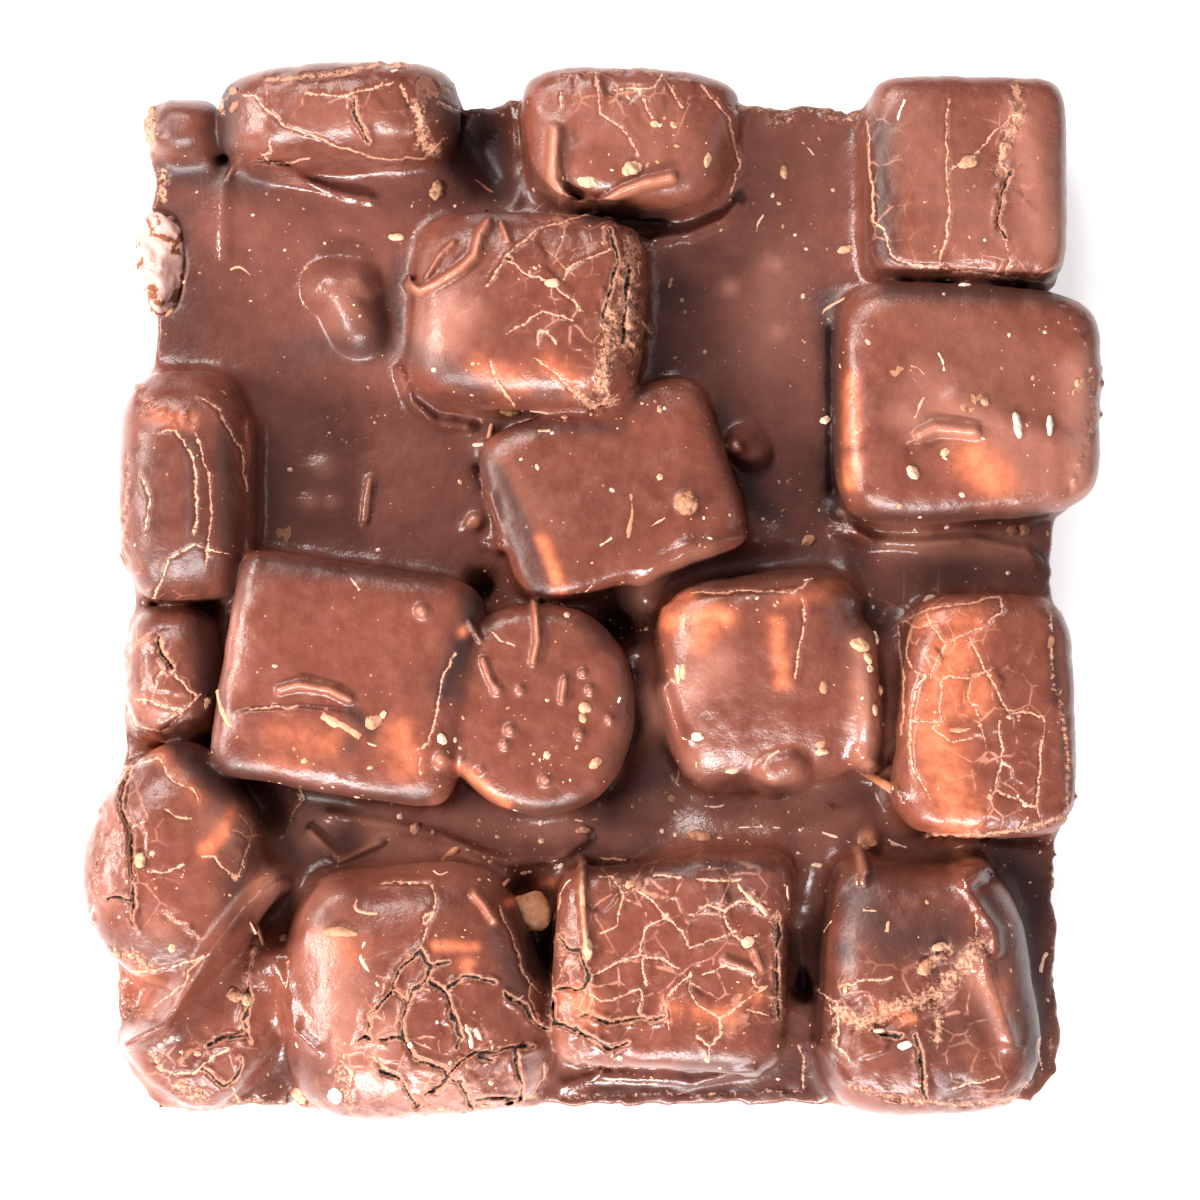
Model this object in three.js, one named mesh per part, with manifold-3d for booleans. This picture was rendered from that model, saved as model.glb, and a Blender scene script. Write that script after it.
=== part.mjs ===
// A square slab of rocky road: a flat bed of milk chocolate with coated marshmallows standing in it,
// nut mounds and coconut shreds under the coat, and a bare marshmallow and bare nuts at the broken edges.
// Millimetres, +Z up, the slab lies flat on its underside. Plan places are measured from the slab's middle.
import * as THREE from "three";
import { mergeVertices } from "three/addons/utils/BufferGeometryUtils.js";
import Module from "manifold-3d";

const wasm = await Module();
wasm.setup();

// Driving sizes of the bed.
const POOL = 12; // level of the set chocolate between the marshmallows
const FLOOR = 2; // chocolate under each marshmallow
const GAP = 0.3; // clearance between neighbouring pieces
const COLLAR_REACH = 4.2; // how far the chocolate climbs away from a marshmallow
const COLLAR_RISE = 2.6; // how high it climbs the wall
const EDGE_STEP = 4; // spacing of points along the broken edge
const EDGE_WOBBLE = 0.4; // unevenness of the broken edge
const OUTLINE = [
  [-53.6, 48],
  [-53.8, 59],
  [0, 59.4],
  [54.2, 59],
  [54, 0],
  [54.6, -56.6],
  [51.6, -60.2],
  [-53, -60.4],
  [-57.2, -52.8],
  [-58.2, -36],
  [-55.6, 0],
  [-53.2, 27.6],
];

// Mesh fineness.
const SIDES = 20; // points round a marshmallow
const DOME_RINGS = 5; // rings from its widest level to its top
const WALL_RINGS = 2; // rings below its widest level
const COLLAR_SIDES = 16; // points round the chocolate drawn up against it

const COLOURS = {
  bed: 0x8a5447,
  coat: 0x9c6152,
  bare: 0xf7e6e2,
  nut: 0xe9c79c,
};
const material = (color, roughness) =>
  new THREE.MeshStandardMaterial({ color, roughness, metalness: 0 });

// The coated marshmallows, back to front. at: middle in plan; size: half width and half depth; turn in degrees;
// top: height of the crown; square: how square the plan is; crown: how flat the top is; lean: how the crown
// rises towards +X and +Y, in mm per mm; taper: how the width grows towards +Y and the depth towards +X.
const LUMPS = {
  nub_top_left: { at: [-49.8, 56.4], size: [4.9, 4], top: 17, square: 2.4, crown: 2.6 },
  marshmallow_top_left: {
    at: [-31.3, 57.7], size: [14.4, 6.2], turn: 3, top: 24, square: 3.4, crown: 2.8, lean: [0.06, 0.1],
  },
  marshmallow_top_middle: {
    at: [3.5, 54.5], size: [12.5, 8.3], turn: -3, top: 24.5, square: 4, crown: 5, taper: [0.12, 0],
  },
  marshmallow_top_right: { at: [43.4, 49.6], size: [11.8, 12.1], top: 24, square: 8, crown: 7 },
  marshmallow_upper_middle: {
    at: [-8.6, 33.8], size: [13.8, 11.7], turn: -3, top: 27, square: 4.6, crown: 4.2, lean: [0.04, 0],
  },
  marshmallow_right: {
    at: [43.6, 23], size: [15.5, 13.9], top: 25, square: 5, crown: 7, taper: [0, -0.08],
  },
  marshmallow_left: { at: [-49.3, 13.4], size: [7.9, 13.8], top: 24, square: 3.4, crown: 3 },
  marshmallow_middle: {
    at: [1.4, 12.8], size: [14.2, 11], turn: 18, top: 22, square: 6, crown: 8, lean: [-0.05, -0.08],
  },
  nub_left: { at: [-50.8, -8.9], size: [5.7, 8.1], top: 20, square: 3.4, crown: 3 },
  marshmallow_lower_left: {
    at: [-29.8, -9.6], size: [14.6, 13.6], turn: -9, top: 25.5, square: 8, crown: 8, lean: [0, 0.06],
  },
  marshmallow_on_end: { at: [-7.1, -13.2], size: [11.2, 12.4], top: 24, square: 2.2, crown: 8 },
  marshmallow_lower_right: {
    at: [19.6, -9.6], size: [12.5, 12.8], turn: 8, top: 22.5, square: 4, crown: 3.6, lean: [0, 0.24],
  },
  marshmallow_right_edge: {
    at: [45.6, -13.9], size: [10.2, 14.3], turn: -2, top: 25, square: 4.6, crown: 7, taper: [-0.08, 0],
  },
  marshmallow_left_edge: {
    at: [-50.4, -31.4], size: [10.8, 14.6], turn: -4, top: 24, square: 1.8, crown: 3.4, taper: [-0.1, 0],
  },
  plate_bottom_left: {
    at: [-45.4, -49.4], size: [7.8, 11.4], turn: -35, top: 18, square: 3, crown: 4, lean: [0.1, 0],
  },
  marshmallow_bottom_left: {
    at: [-21.8, -46.3], size: [15.2, 15], turn: 6, top: 25, square: 3.2, crown: 3, taper: [-0.16, 0],
  },
  marshmallow_bottom_middle: {
    at: [8.3, -43.6], size: [13.7, 11.9], turn: -2, top: 25, square: 7, crown: 7,
  },
  marshmallow_bottom_right: {
    at: [38.4, -46.2], size: [12.8, 14.9], turn: 3, top: 25, square: 3.4, crown: 4, taper: [-0.1, 0],
  },
};

// Nuts and crumbs under the coat of the bed: middle in plan, radius, how far they rise above the pool.
const BED_MOUNDS = [
  [-30.4, 34.8, 5, 3.8],
  [-32.6, 36.6, 3.4, 2.6],
  [18.6, 18.8, 3, 3],
  [21, 39.6, 1.7, 1],
  [15.6, 38.4, 1.5, 0.8],
  [21.2, 33.4, 1.2, 0.7],
  [-33, 15.6, 1.6, 0.8],
  [-34.6, 11.8, 1.3, 0.8],
  [-38.6, 8.6, 1.6, 0.7],
  [44.4, -32.4, 2.6, 2.2],
  [33.2, -22.6, 2.2, 1.8],
  [-12, -28, 2.4, 2],
];
// Nuts under the coat of a marshmallow: node, middle in plan, radius, rise.
const COAT_MOUNDS = [
  ["marshmallow_lower_right", 22.6, -20.4, 2.6, 1],
  ["marshmallow_middle", 10.2, 11.7, 1.4, 0.9],
  ["marshmallow_middle", 12.2, 24, 1.6, 1.6],
  ["marshmallow_on_end", -6.6, -18.6, 1.6, 0.8],
  ["marshmallow_top_right", 43.4, 51.4, 1.2, 0.7],
  ["marshmallow_lower_left", -26.8, -14.2, 1.5, 0.7],
];
// Coconut shreds that lie on a node: node, two ends in plan, width.
const SHREDS = [
  ["marshmallow_upper_middle", [-17.4, 38.4], [-20.2, 34.4], 0.7],
  ["marshmallow_middle", [3.9, 12.9], [3.5, 7.3], 0.9],
  ["marshmallow_on_end", [-7.6, -3], [-7.6, -7], 0.9],
  ["marshmallow_lower_left", [-38.2, -10.6], [-29.6, -11.6], 1],
  ["marshmallow_lower_left", [-32.6, -13.2], [-28.4, -16.2], 1.9],
  ["marshmallow_lower_left", [-44.2, -11.4], [-42.2, -16.4], 1.2],
  ["marshmallow_lower_right", [20.6, -17.8], [26, -17.8], 0.9],
  ["marshmallow_right_edge", [41.4, -14.7], [45.6, -14.9], 1],
  ["marshmallow_bottom_left", [-18.6, -33.6], [-17.4, -38.2], 1],
  ["marshmallow_bottom_left", [-28.4, -35.6], [-27.6, -41.4], 1],
  ["marshmallow_right", [37, 27.4], [38.4, 25.8], 1],
  ["marshmallow_top_middle", [-2, 46.6], [5.6, 48], 1.6],
  ["marshmallow_bottom_middle", [-2, -33.6], [-1.2, -42.6], 1.2],
];
const BED_SHREDS = [
  [[-28, 13.4], [-28.2, 9], 0.9],
  [[26.6, 36], [29.2, 33.4], 0.9],
  [[-29.6, 26], [-27, 25.2], 1],
  [[30.4, -19.6], [34.6, -22.4], 1.1],
  [[10.2, -27.6], [14, -27.8], 0.9],
  [[-38, 8.8], [-36.6, 7.2], 1],
  [[49, 8.6], [51, 7.8], 1.2],
  [[-4.4, -31.6], [-9, -33.4], 1],
];
// The long curled shred on the upper middle marshmallow.
const CURL = {
  on: "marshmallow_upper_middle",
  width: 1.1,
  path: [[-13.2, 44.4], [-14.6, 40.4], [-18, 37.4], [-21.6, 37.4]],
};
// Open cracks: node, width, route in plan.
const CRACKS = [
  ["marshmallow_upper_middle", 0.8, [[2.6, 43.4], [3.2, 38], [2.4, 32], [1, 26.6]]],
  ["marshmallow_top_right", 0.6, [[41.2, 58], [41.6, 52], [40.8, 46.6]]],
  ["marshmallow_left_edge", 0.7, [[-56.4, -22], [-55.6, -31], [-55.4, -39.4]]],
  ["marshmallow_bottom_left", 0.9, [[-25.6, -44], [-18.4, -50], [-17.6, -56]]],
  ["marshmallow_bottom_left", 0.8, [[-30, -52], [-23.6, -53.6], [-12.6, -51]]],
  ["marshmallow_bottom_right", 0.8, [[28.4, -46.6], [35, -47.6], [40, -44.4], [44.4, -40.6]]],
  ["marshmallow_bottom_right", 0.6, [[37.4, -51.6], [37.6, -58]]],
];
const CRACK_DEPTH = 0.9;
const WALL_SQUARENESS = 7; // how straight a marshmallow's wall runs down from its widest level
const TOUCHING = 34; // marshmallows whose middles lie further apart than this never meet

// What lies open at the broken edges: middle, half sizes.
const BARE_MARSHMALLOW = { at: [-53, 40.6, 7.6], size: [2.9, 6.4, 5.6] };
const BARE_NUTS = {
  nut_corner: { at: [-53.6, -57.8, 7], size: [2.8, 2.9, 4.2] },
  nut_hollow: { at: [-8.2, -37, 14.4], size: [1.9, 2.2, 1.8] },
  nut_front_edge: { at: [-35.4, -59.6, 9], size: [1.8, 1.5, 2.2] },
};

const radians = THREE.MathUtils.degToRad;
const signedPower = (value, power) => Math.sign(value) * Math.abs(value) ** power;

const apart = (one, other) => Math.hypot(one.at[0] - other.at[0], one.at[1] - other.at[1]);

// One repeatable draw in 0..1 for each index.
function draw(index) {
  const wave = Math.sin(index * 127.1 + 311.7) * 43758.5453;
  return wave - Math.floor(wave);
}

function solidOf(geometry) {
  const bare = geometry.clone();
  bare.deleteAttribute("normal");
  bare.deleteAttribute("uv");
  const merged = mergeVertices(bare, 1e-3);
  return new wasm.Manifold(
    new wasm.Mesh({
      numProp: 3,
      vertProperties: merged.attributes.position.array,
      triVerts: new Uint32Array(merged.index.array),
    }),
  );
}

function geometryOf(solid) {
  const { numProp, vertProperties, triVerts } = solid.getMesh();
  const places = [];
  for (let i = 0; i < vertProperties.length; i += numProp) places.push(...vertProperties.slice(i, i + 3));
  return new THREE.BufferGeometry()
    .setAttribute("position", new THREE.Float32BufferAttribute(places, 3))
    .setIndex(new THREE.BufferAttribute(triVerts, 1));
}

function movePoints(geometry, move) {
  const places = geometry.attributes.position;
  const point = new THREE.Vector3();
  for (let i = 0; i < places.count; i++) {
    move(point.fromBufferAttribute(places, i));
    places.setXYZ(i, point.x, point.y, point.z);
  }
  return geometry;
}

// A marshmallow's measures with the usual values filled in. Its widest level is halfway up.
function lumpOf(name) {
  const lump = { turn: 0, lean: [0, 0], taper: [0, 0], name, ...LUMPS[name] };
  return { ...lump, waist: (FLOOR + lump.top) / 2 };
}

// From the marshmallow's own plan axes to the slab's, and back.
function toSlab(lump, u, v) {
  const x = u * (1 + (lump.taper[0] * v) / lump.size[1]);
  const y = v * (1 + (lump.taper[1] * u) / lump.size[0]);
  const turn = radians(lump.turn);
  return [
    lump.at[0] + x * Math.cos(turn) - y * Math.sin(turn),
    lump.at[1] + x * Math.sin(turn) + y * Math.cos(turn),
  ];
}

function fromSlab(lump, x, y) {
  const turn = radians(-lump.turn);
  const dx = x - lump.at[0];
  const dy = y - lump.at[1];
  const u = dx * Math.cos(turn) - dy * Math.sin(turn);
  const v = dx * Math.sin(turn) + dy * Math.cos(turn);
  return [
    u / (1 + (lump.taper[0] * v) / lump.size[1]),
    v / (1 + (lump.taper[1] * u) / lump.size[0]),
  ];
}

// The plan outline in direction angle, grown by offset.
function outlinePoint(lump, angle, offset) {
  const [a, b] = lump.size;
  const x = Math.cos(angle);
  const y = Math.sin(angle);
  const reach = (Math.abs(x / a) ** lump.square + Math.abs(y / b) ** lump.square) ** (-1 / lump.square);
  return [(reach + offset) * x, (reach + offset) * y];
}

function crownHeight(lump, u, v) {
  return lump.top - lump.waist + lump.lean[0] * u + lump.lean[1] * v;
}

// Height of a marshmallow's coat over a place in plan.
function heightAt(lump, x, y) {
  const [u, v] = fromSlab(lump, x, y);
  const spread = Math.abs(u / lump.size[0]) ** lump.square + Math.abs(v / lump.size[1]) ** lump.square;
  const rim = Math.min(spread ** (1 / lump.square), 0.97);
  return lump.waist + crownHeight(lump, u, v) * (1 - rim ** lump.crown) ** (1 / lump.crown);
}

// A turned profile of radius 1, stretched to the plan outline: a crown above the waist, a nearly straight wall
// below.
function lumpSolid(lump, grow = 0) {
  const profile = [new THREE.Vector2(0, -1)];
  for (let i = -WALL_RINGS; i <= DOME_RINGS; i++) {
    const power = i < 0 ? WALL_SQUARENESS : lump.crown;
    const angle = ((i < 0 ? i / (WALL_RINGS + 0.35) : i / (DOME_RINGS + 1)) * Math.PI) / 2;
    profile.push(new THREE.Vector2(Math.cos(angle) ** (2 / power), signedPower(Math.sin(angle), 2 / power)));
  }
  profile.push(new THREE.Vector2(0, 1));
  const turned = new THREE.LatheGeometry(profile, SIDES).rotateX(Math.PI / 2);
  const bottom = FLOOR + GAP;
  movePoints(turned, (point) => {
    const radius = Math.hypot(point.x, point.y);
    const [ou, ov] = outlinePoint(lump, Math.atan2(point.y, point.x), grow);
    const u = radius * ou;
    const v = radius * ov;
    const up = point.z > 0 ? crownHeight(lump, u, v) + grow : lump.waist - bottom + grow;
    [point.x, point.y] = toSlab(lump, u, v);
    point.z = lump.waist + point.z * up;
  });
  return solidOf(turned);
}

// A closed stack of rings that follow the marshmallow's outline: [offset, height] from bottom to top.
function ringStack(lump, levels, sides = SIDES) {
  const spread = 100; // turns an offset in mm into a small change of the unit radius
  const profile = levels.map(([offset, height]) => new THREE.Vector2(1 + offset / spread, height));
  profile.unshift(new THREE.Vector2(0, levels[0][1]));
  profile.push(new THREE.Vector2(0, levels.at(-1)[1]));
  const turned = new THREE.LatheGeometry(profile, sides).rotateX(Math.PI / 2);
  movePoints(turned, (point) => {
    const radius = Math.hypot(point.x, point.y);
    const onAxis = radius < 0.5;
    const [u, v] = onAxis ? [0, 0] : outlinePoint(lump, Math.atan2(point.y, point.x), (radius - 1) * spread);
    [point.x, point.y] = toSlab(lump, u, v);
  });
  return solidOf(turned);
}

// A low dome with its middle at a height.
function dome([x, y, z], radius, rise, depth = rise) {
  const ball = new THREE.SphereGeometry(1, 8, 5).rotateX(Math.PI / 2);
  movePoints(ball, (point) => {
    point.z *= point.z > 0 ? rise : depth;
    point.x *= radius;
    point.y *= radius;
  });
  return solidOf(ball.translate(x, y, z));
}

// A flat shred between two points, rounded at its ends.
function shred(from, to, width) {
  const a = new THREE.Vector3(...from);
  const b = new THREE.Vector3(...to);
  const along = b.clone().sub(a);
  const reach = along.length() / 2 + width / 2;
  const grain = new THREE.CapsuleGeometry(1, 1.4, 1, 5, 1);
  movePoints(grain, (point) => {
    point.y *= reach / 1.7;
    point.x *= width * 0.55;
    point.z *= width * 0.5;
  });
  const turn = new THREE.Quaternion().setFromUnitVectors(new THREE.Vector3(0, 1, 0), along.normalize());
  const middle = a.add(b).multiplyScalar(0.5);
  return solidOf(grain.applyQuaternion(turn).translate(middle.x, middle.y, middle.z));
}

// The long curled shred: a flat section along a curve that follows the coat.
function curl(lump) {
  const places = CURL.path.map(([x, y]) => new THREE.Vector3(x, y, heightAt(lump, x, y) + CURL.width * 0.1));
  const section = new THREE.Shape().absellipse(0, 0, CURL.width * 0.5, CURL.width * 0.5, 0, 2 * Math.PI);
  return solidOf(
    new THREE.ExtrudeGeometry(section, {
      extrudePath: new THREE.CatmullRomCurve3(places),
      steps: 10,
      curveSegments: 3,
    }),
  );
}

// A wedge that opens upwards, driven along a route on the coat.
function crackWedge(lump, width, route) {
  const wedges = [];
  for (let i = 1; i < route.length; i++) {
    const [from, to] = [route[i - 1], route[i]].map(([x, y]) => new THREE.Vector3(x, y, heightAt(lump, x, y)));
    const along = to.clone().sub(from);
    const length = along.length() + width;
    const wedge = new THREE.BoxGeometry(width, length, 3 * CRACK_DEPTH, 1, 1, 1);
    movePoints(wedge, (point) => {
      if (point.z < 0) point.x *= 0.2;
      point.z += 0.5 * CRACK_DEPTH;
    });
    wedge.rotateX(Math.atan2(along.z, Math.hypot(along.x, along.y)));
    wedge.rotateZ(Math.atan2(along.y, along.x) - Math.PI / 2);
    const middle = from.add(to).multiplyScalar(0.5);
    wedges.push(solidOf(wedge.translate(middle.x, middle.y, middle.z)));
  }
  return wedges.reduce((joined, wedge) => joined.add(wedge));
}

// The broken edge of the bed, walked in even steps with a small in and out.
function bedOutline() {
  const shape = new THREE.Shape();
  let count = 0;
  OUTLINE.forEach((corner, i) => {
    const start = new THREE.Vector2(...corner);
    const end = new THREE.Vector2(...OUTLINE[(i + 1) % OUTLINE.length]);
    const steps = Math.max(1, Math.round(start.distanceTo(end) / EDGE_STEP));
    const outward = new THREE.Vector2(start.y - end.y, end.x - start.x).normalize();
    for (let step = 0; step < steps; step++) {
      const place = start.clone().lerp(end, step / steps);
      place.addScaledVector(outward, EDGE_WOBBLE * (2 * draw(count++) - 1));
      if (count === 1) shape.moveTo(place.x, place.y);
      else shape.lineTo(place.x, place.y);
    }
  });
  return shape;
}

const prism = (shape, depth) => solidOf(new THREE.ExtrudeGeometry(shape, { depth, bevelEnabled: false }));

// The bed: a plate with the chocolate drawn up round each marshmallow, then a pocket for each.
function bedSolid(lumps) {
  const outline = bedOutline();
  let bed = prism(outline, POOL);
  for (const lump of lumps) {
    const rise = Math.min(COLLAR_RISE, (lump.top - POOL) / 3);
    const levels = [
      [COLLAR_REACH, POOL - 1],
      [COLLAR_REACH * 0.4, POOL + rise * 0.35],
      [-1, POOL + rise],
    ];
    bed = bed.add(ringStack(lump, levels, COLLAR_SIDES));
  }
  for (const [x, y, radius, rise] of BED_MOUNDS) bed = bed.add(dome([x, y, POOL], radius, rise, 1));
  for (const [from, to, width] of BED_SHREDS)
    bed = bed.add(shred([...from, POOL + 0.1], [...to, POOL + 0.1], width));
  bed = bed.intersect(prism(outline, 4 * POOL));
  for (const lump of lumps)
    bed = bed.subtract(
      ringStack(lump, [
        [GAP, FLOOR],
        [GAP, 2 * POOL],
      ]),
    );
  return bed;
}

// The one largest body of a solid, so that no loose scrap stays.
function largestBody(solid) {
  return solid.decompose().reduce((best, body) => (body.volume() > best.volume() ? body : best));
}

const lumps = Object.keys(LUMPS).map(lumpOf);
const lumpNamed = (name) => lumps.find((lump) => lump.name === name);
const solids = new Map(lumps.map((lump) => [lump.name, lumpSolid(lump)]));

function change(name, make) {
  solids.set(name, make(solids.get(name), lumpNamed(name)));
}

for (const [name, x, y, radius, rise] of COAT_MOUNDS)
  change(name, (coat, lump) => coat.add(dome([x, y, heightAt(lump, x, y) - 0.3], radius, rise + 0.3, 1)));
for (const [name, from, to, width] of SHREDS)
  change(name, (coat, lump) => {
    const ends = [from, to].map(([x, y]) => [x, y, heightAt(lump, x, y)]);
    return coat.add(shred(ends[0], ends[1], width));
  });
change(CURL.on, (coat, lump) => coat.add(curl(lump)));
for (const [name, width, route] of CRACKS)
  change(name, (coat, lump) => coat.subtract(crackWedge(lump, width, route)));

// Where two marshmallows press together, the later one gives way.
lumps.forEach((lump, i) => {
  for (const other of lumps.slice(0, i)) {
    if (apart(lump, other) > TOUCHING) continue;
    change(lump.name, (coat) => coat.subtract(lumpSolid(other, GAP)));
  }
  change(lump.name, largestBody);
});

const rockyRoad = new THREE.Group();
function addPiece(name, solid, color, roughness) {
  const piece = new THREE.Mesh(geometryOf(solid), material(color, roughness));
  piece.name = name;
  rockyRoad.add(piece);
}

// A bare piece in its own pocket of the bed, clear of the coats beside it.
function barePiece({ at, size }, grow = 0) {
  const ball = new THREE.SphereGeometry(1, 10, 7).rotateX(Math.PI / 2);
  ball.scale(...size.map((half) => half + grow)).translate(...at);
  return solidOf(ball);
}

let bed = bedSolid(lumps);
const barePieces = { bare_marshmallow: BARE_MARSHMALLOW, ...BARE_NUTS };
for (const [name, piece] of Object.entries(barePieces)) {
  let solid = barePiece(piece);
  for (const lump of lumps)
    if (apart(lump, piece) < TOUCHING) solid = solid.subtract(lumpSolid(lump, GAP));
  bed = bed.subtract(barePiece(piece, GAP));
  const color = name === "bare_marshmallow" ? COLOURS.bare : COLOURS.nut;
  addPiece(name, largestBody(solid), color, 0.8);
}
addPiece("bed", largestBody(bed), COLOURS.bed, 0.4);
for (const [name, solid] of solids) addPiece(name, solid, COLOURS.coat, 0.4);

// The origin is under the middle of the slab, on the surface it rests on.
const box = new THREE.Box3().setFromObject(rockyRoad);
const middle = box.getCenter(new THREE.Vector3());
rockyRoad.position.set(-middle.x, -middle.y, -box.min.z);

export default rockyRoad;
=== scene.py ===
"""A slab of rocky road seen from straight above: set milk chocolate with coated marshmallows in it.

The chocolate is worked out as one distance field in millimetres, where the bed and the marshmallows' coats
run together. The field is then shared out among the pieces, so that it flows from one piece to the next
without a seam. Cracks, folds, thin spots, painted light and painted shade, and toppings are traced in
pixels of a 1200-pixel square picture, and lie where the camera sees them.
"""

import math
from collections import namedtuple
from dataclasses import dataclass

import bpy
import numpy as np
import openvdb
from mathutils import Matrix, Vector
from mathutils.bvhtree import BVHTree


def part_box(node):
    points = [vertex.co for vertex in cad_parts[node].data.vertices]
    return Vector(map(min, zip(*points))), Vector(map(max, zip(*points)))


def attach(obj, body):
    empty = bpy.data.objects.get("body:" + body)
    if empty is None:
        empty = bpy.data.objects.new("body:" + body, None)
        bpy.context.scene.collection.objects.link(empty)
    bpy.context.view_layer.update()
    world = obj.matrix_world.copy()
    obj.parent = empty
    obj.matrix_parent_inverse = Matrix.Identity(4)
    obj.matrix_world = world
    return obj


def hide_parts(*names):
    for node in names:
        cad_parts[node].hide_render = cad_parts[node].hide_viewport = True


MM = 0.001

# The bed, in millimetres, as in the solids.
POOL = 12.0
FLOOR = 2.0
UNDERSIDE = 0.0

# How finely the chocolate is meshed, in millimetres.
COAT_STEP = 0.31
BED_STEP = 0.35

# How softly a coat runs into the bed, and into the next coat.
FILLET = 2.5
CREVICE = 1.0

# How a piece ends under its neighbours: how steeply it dips, how far it runs on, where inner coats stop.
SINK = 0.06
OVERLAP = 1.6
HIDDEN_LEVEL = 7.0

# The room round a bare piece, in millimetres.
PIT = 0.15

# Ridges and folds up to this half width, in pixels, are narrow: they stretch the coat or catch the light.
NARROW = 14

# The picture: a square of pixels, and how the camera stands over the slab.
PICTURE = 1200
PIXEL = 0.12
CAMERA_HEIGHT = 480.0
CAMERA_FOOT = (0.0, -18.0)
AIM_LEVEL = 11.0
SENSOR = 36.0


@dataclass
class Lump:
    """A coated marshmallow: middle and half sizes in plan, the height of its top, and how square it is.

    It may be turned by some degrees, lean at its crown and taper in plan. An outer one shows down its side.
    """

    at: tuple
    size: tuple
    top: float
    square: float
    crown: float
    turn: float = 0.0
    lean: tuple = (0.0, 0.0)
    taper: tuple = (0.0, 0.0)
    outer: bool = False

    @property
    def waist(self):
        return (FLOOR + self.top) / 2


LUMPS = {
    "nub_top_left": Lump((-49.8, 56.4), (4.9, 4.0), 17, 2.4, 2.6, outer=True),
    "marshmallow_top_left": Lump((-31.3, 57.7), (14.4, 6.2), 24, 3.4, 2.8, 3, lean=(0.06, 0.1), outer=True),
    "marshmallow_top_middle": Lump((3.5, 54.5), (12.5, 8.3), 24.5, 4, 5, -3, taper=(0.12, 0), outer=True),
    "marshmallow_top_right": Lump((43.4, 49.6), (11.8, 12.1), 24, 8, 7, outer=True),
    "marshmallow_upper_middle": Lump((-8.6, 33.8), (13.8, 11.7), 27, 4.6, 4.2, -3, lean=(0.04, 0)),
    "marshmallow_right": Lump((43.6, 23), (15.5, 13.9), 25, 5, 7, taper=(0, -0.08), outer=True),
    "marshmallow_left": Lump((-49.3, 13.4), (7.9, 13.8), 24, 3.4, 3, outer=True),
    "marshmallow_middle": Lump((1.4, 12.8), (14.2, 11), 22, 6, 8, 18, lean=(-0.05, -0.08)),
    "nub_left": Lump((-50.8, -8.9), (5.7, 8.1), 20, 3.4, 3, outer=True),
    "marshmallow_lower_left": Lump((-29.8, -9.6), (14.6, 13.6), 25.5, 8, 8, -9, lean=(0, 0.06)),
    "marshmallow_on_end": Lump((-7.1, -13.2), (11.2, 12.4), 24, 2.2, 8),
    "marshmallow_lower_right": Lump((19.6, -9.6), (12.5, 12.8), 22.5, 4, 3.6, 8, lean=(0, 0.24)),
    "marshmallow_right_edge": Lump(
        (45.6, -13.9), (10.2, 14.3), 25, 4.6, 7, -2, taper=(-0.08, 0), outer=True
    ),
    "marshmallow_left_edge": Lump(
        (-50.4, -31.4), (10.8, 14.6), 24, 1.8, 3.4, -4, taper=(-0.1, 0), outer=True
    ),
    "plate_bottom_left": Lump((-45.4, -49.4), (7.8, 11.4), 18, 3, 4, -35, lean=(0.1, 0), outer=True),
    "marshmallow_bottom_left": Lump(
        (-21.8, -46.3), (15.2, 15), 25, 3.2, 3, 6, taper=(-0.16, 0), outer=True
    ),
    "marshmallow_bottom_middle": Lump((8.3, -43.6), (13.7, 11.9), 25, 7, 7, -2),
    "marshmallow_bottom_right": Lump(
        (38.4, -46.2), (12.8, 14.9), 25, 3.4, 4, 3, taper=(-0.1, 0), outer=True
    ),
}
# What lies bare, and how square each piece is.
BARE_PIECES = {"bare_marshmallow": 2.6, "nut_corner": 2.8, "nut_hollow": 2.8, "nut_front_edge": 2.8}
# The broken edge of the bed, clockwise from the left of its back edge.
OUTLINE = [
    (-53.6, 48), (-53.8, 59), (0, 59.4), (54.2, 59), (54, 0), (54.6, -56.6), (51.6, -60.2), (-53, -60.4),
    (-57.2, -52.8), (-58.2, -36), (-55.6, 0), (-53.2, 27.6),
]  # fmt: skip

# ---------------------------------------------------------------- what is traced, in pixels of the picture

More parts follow.
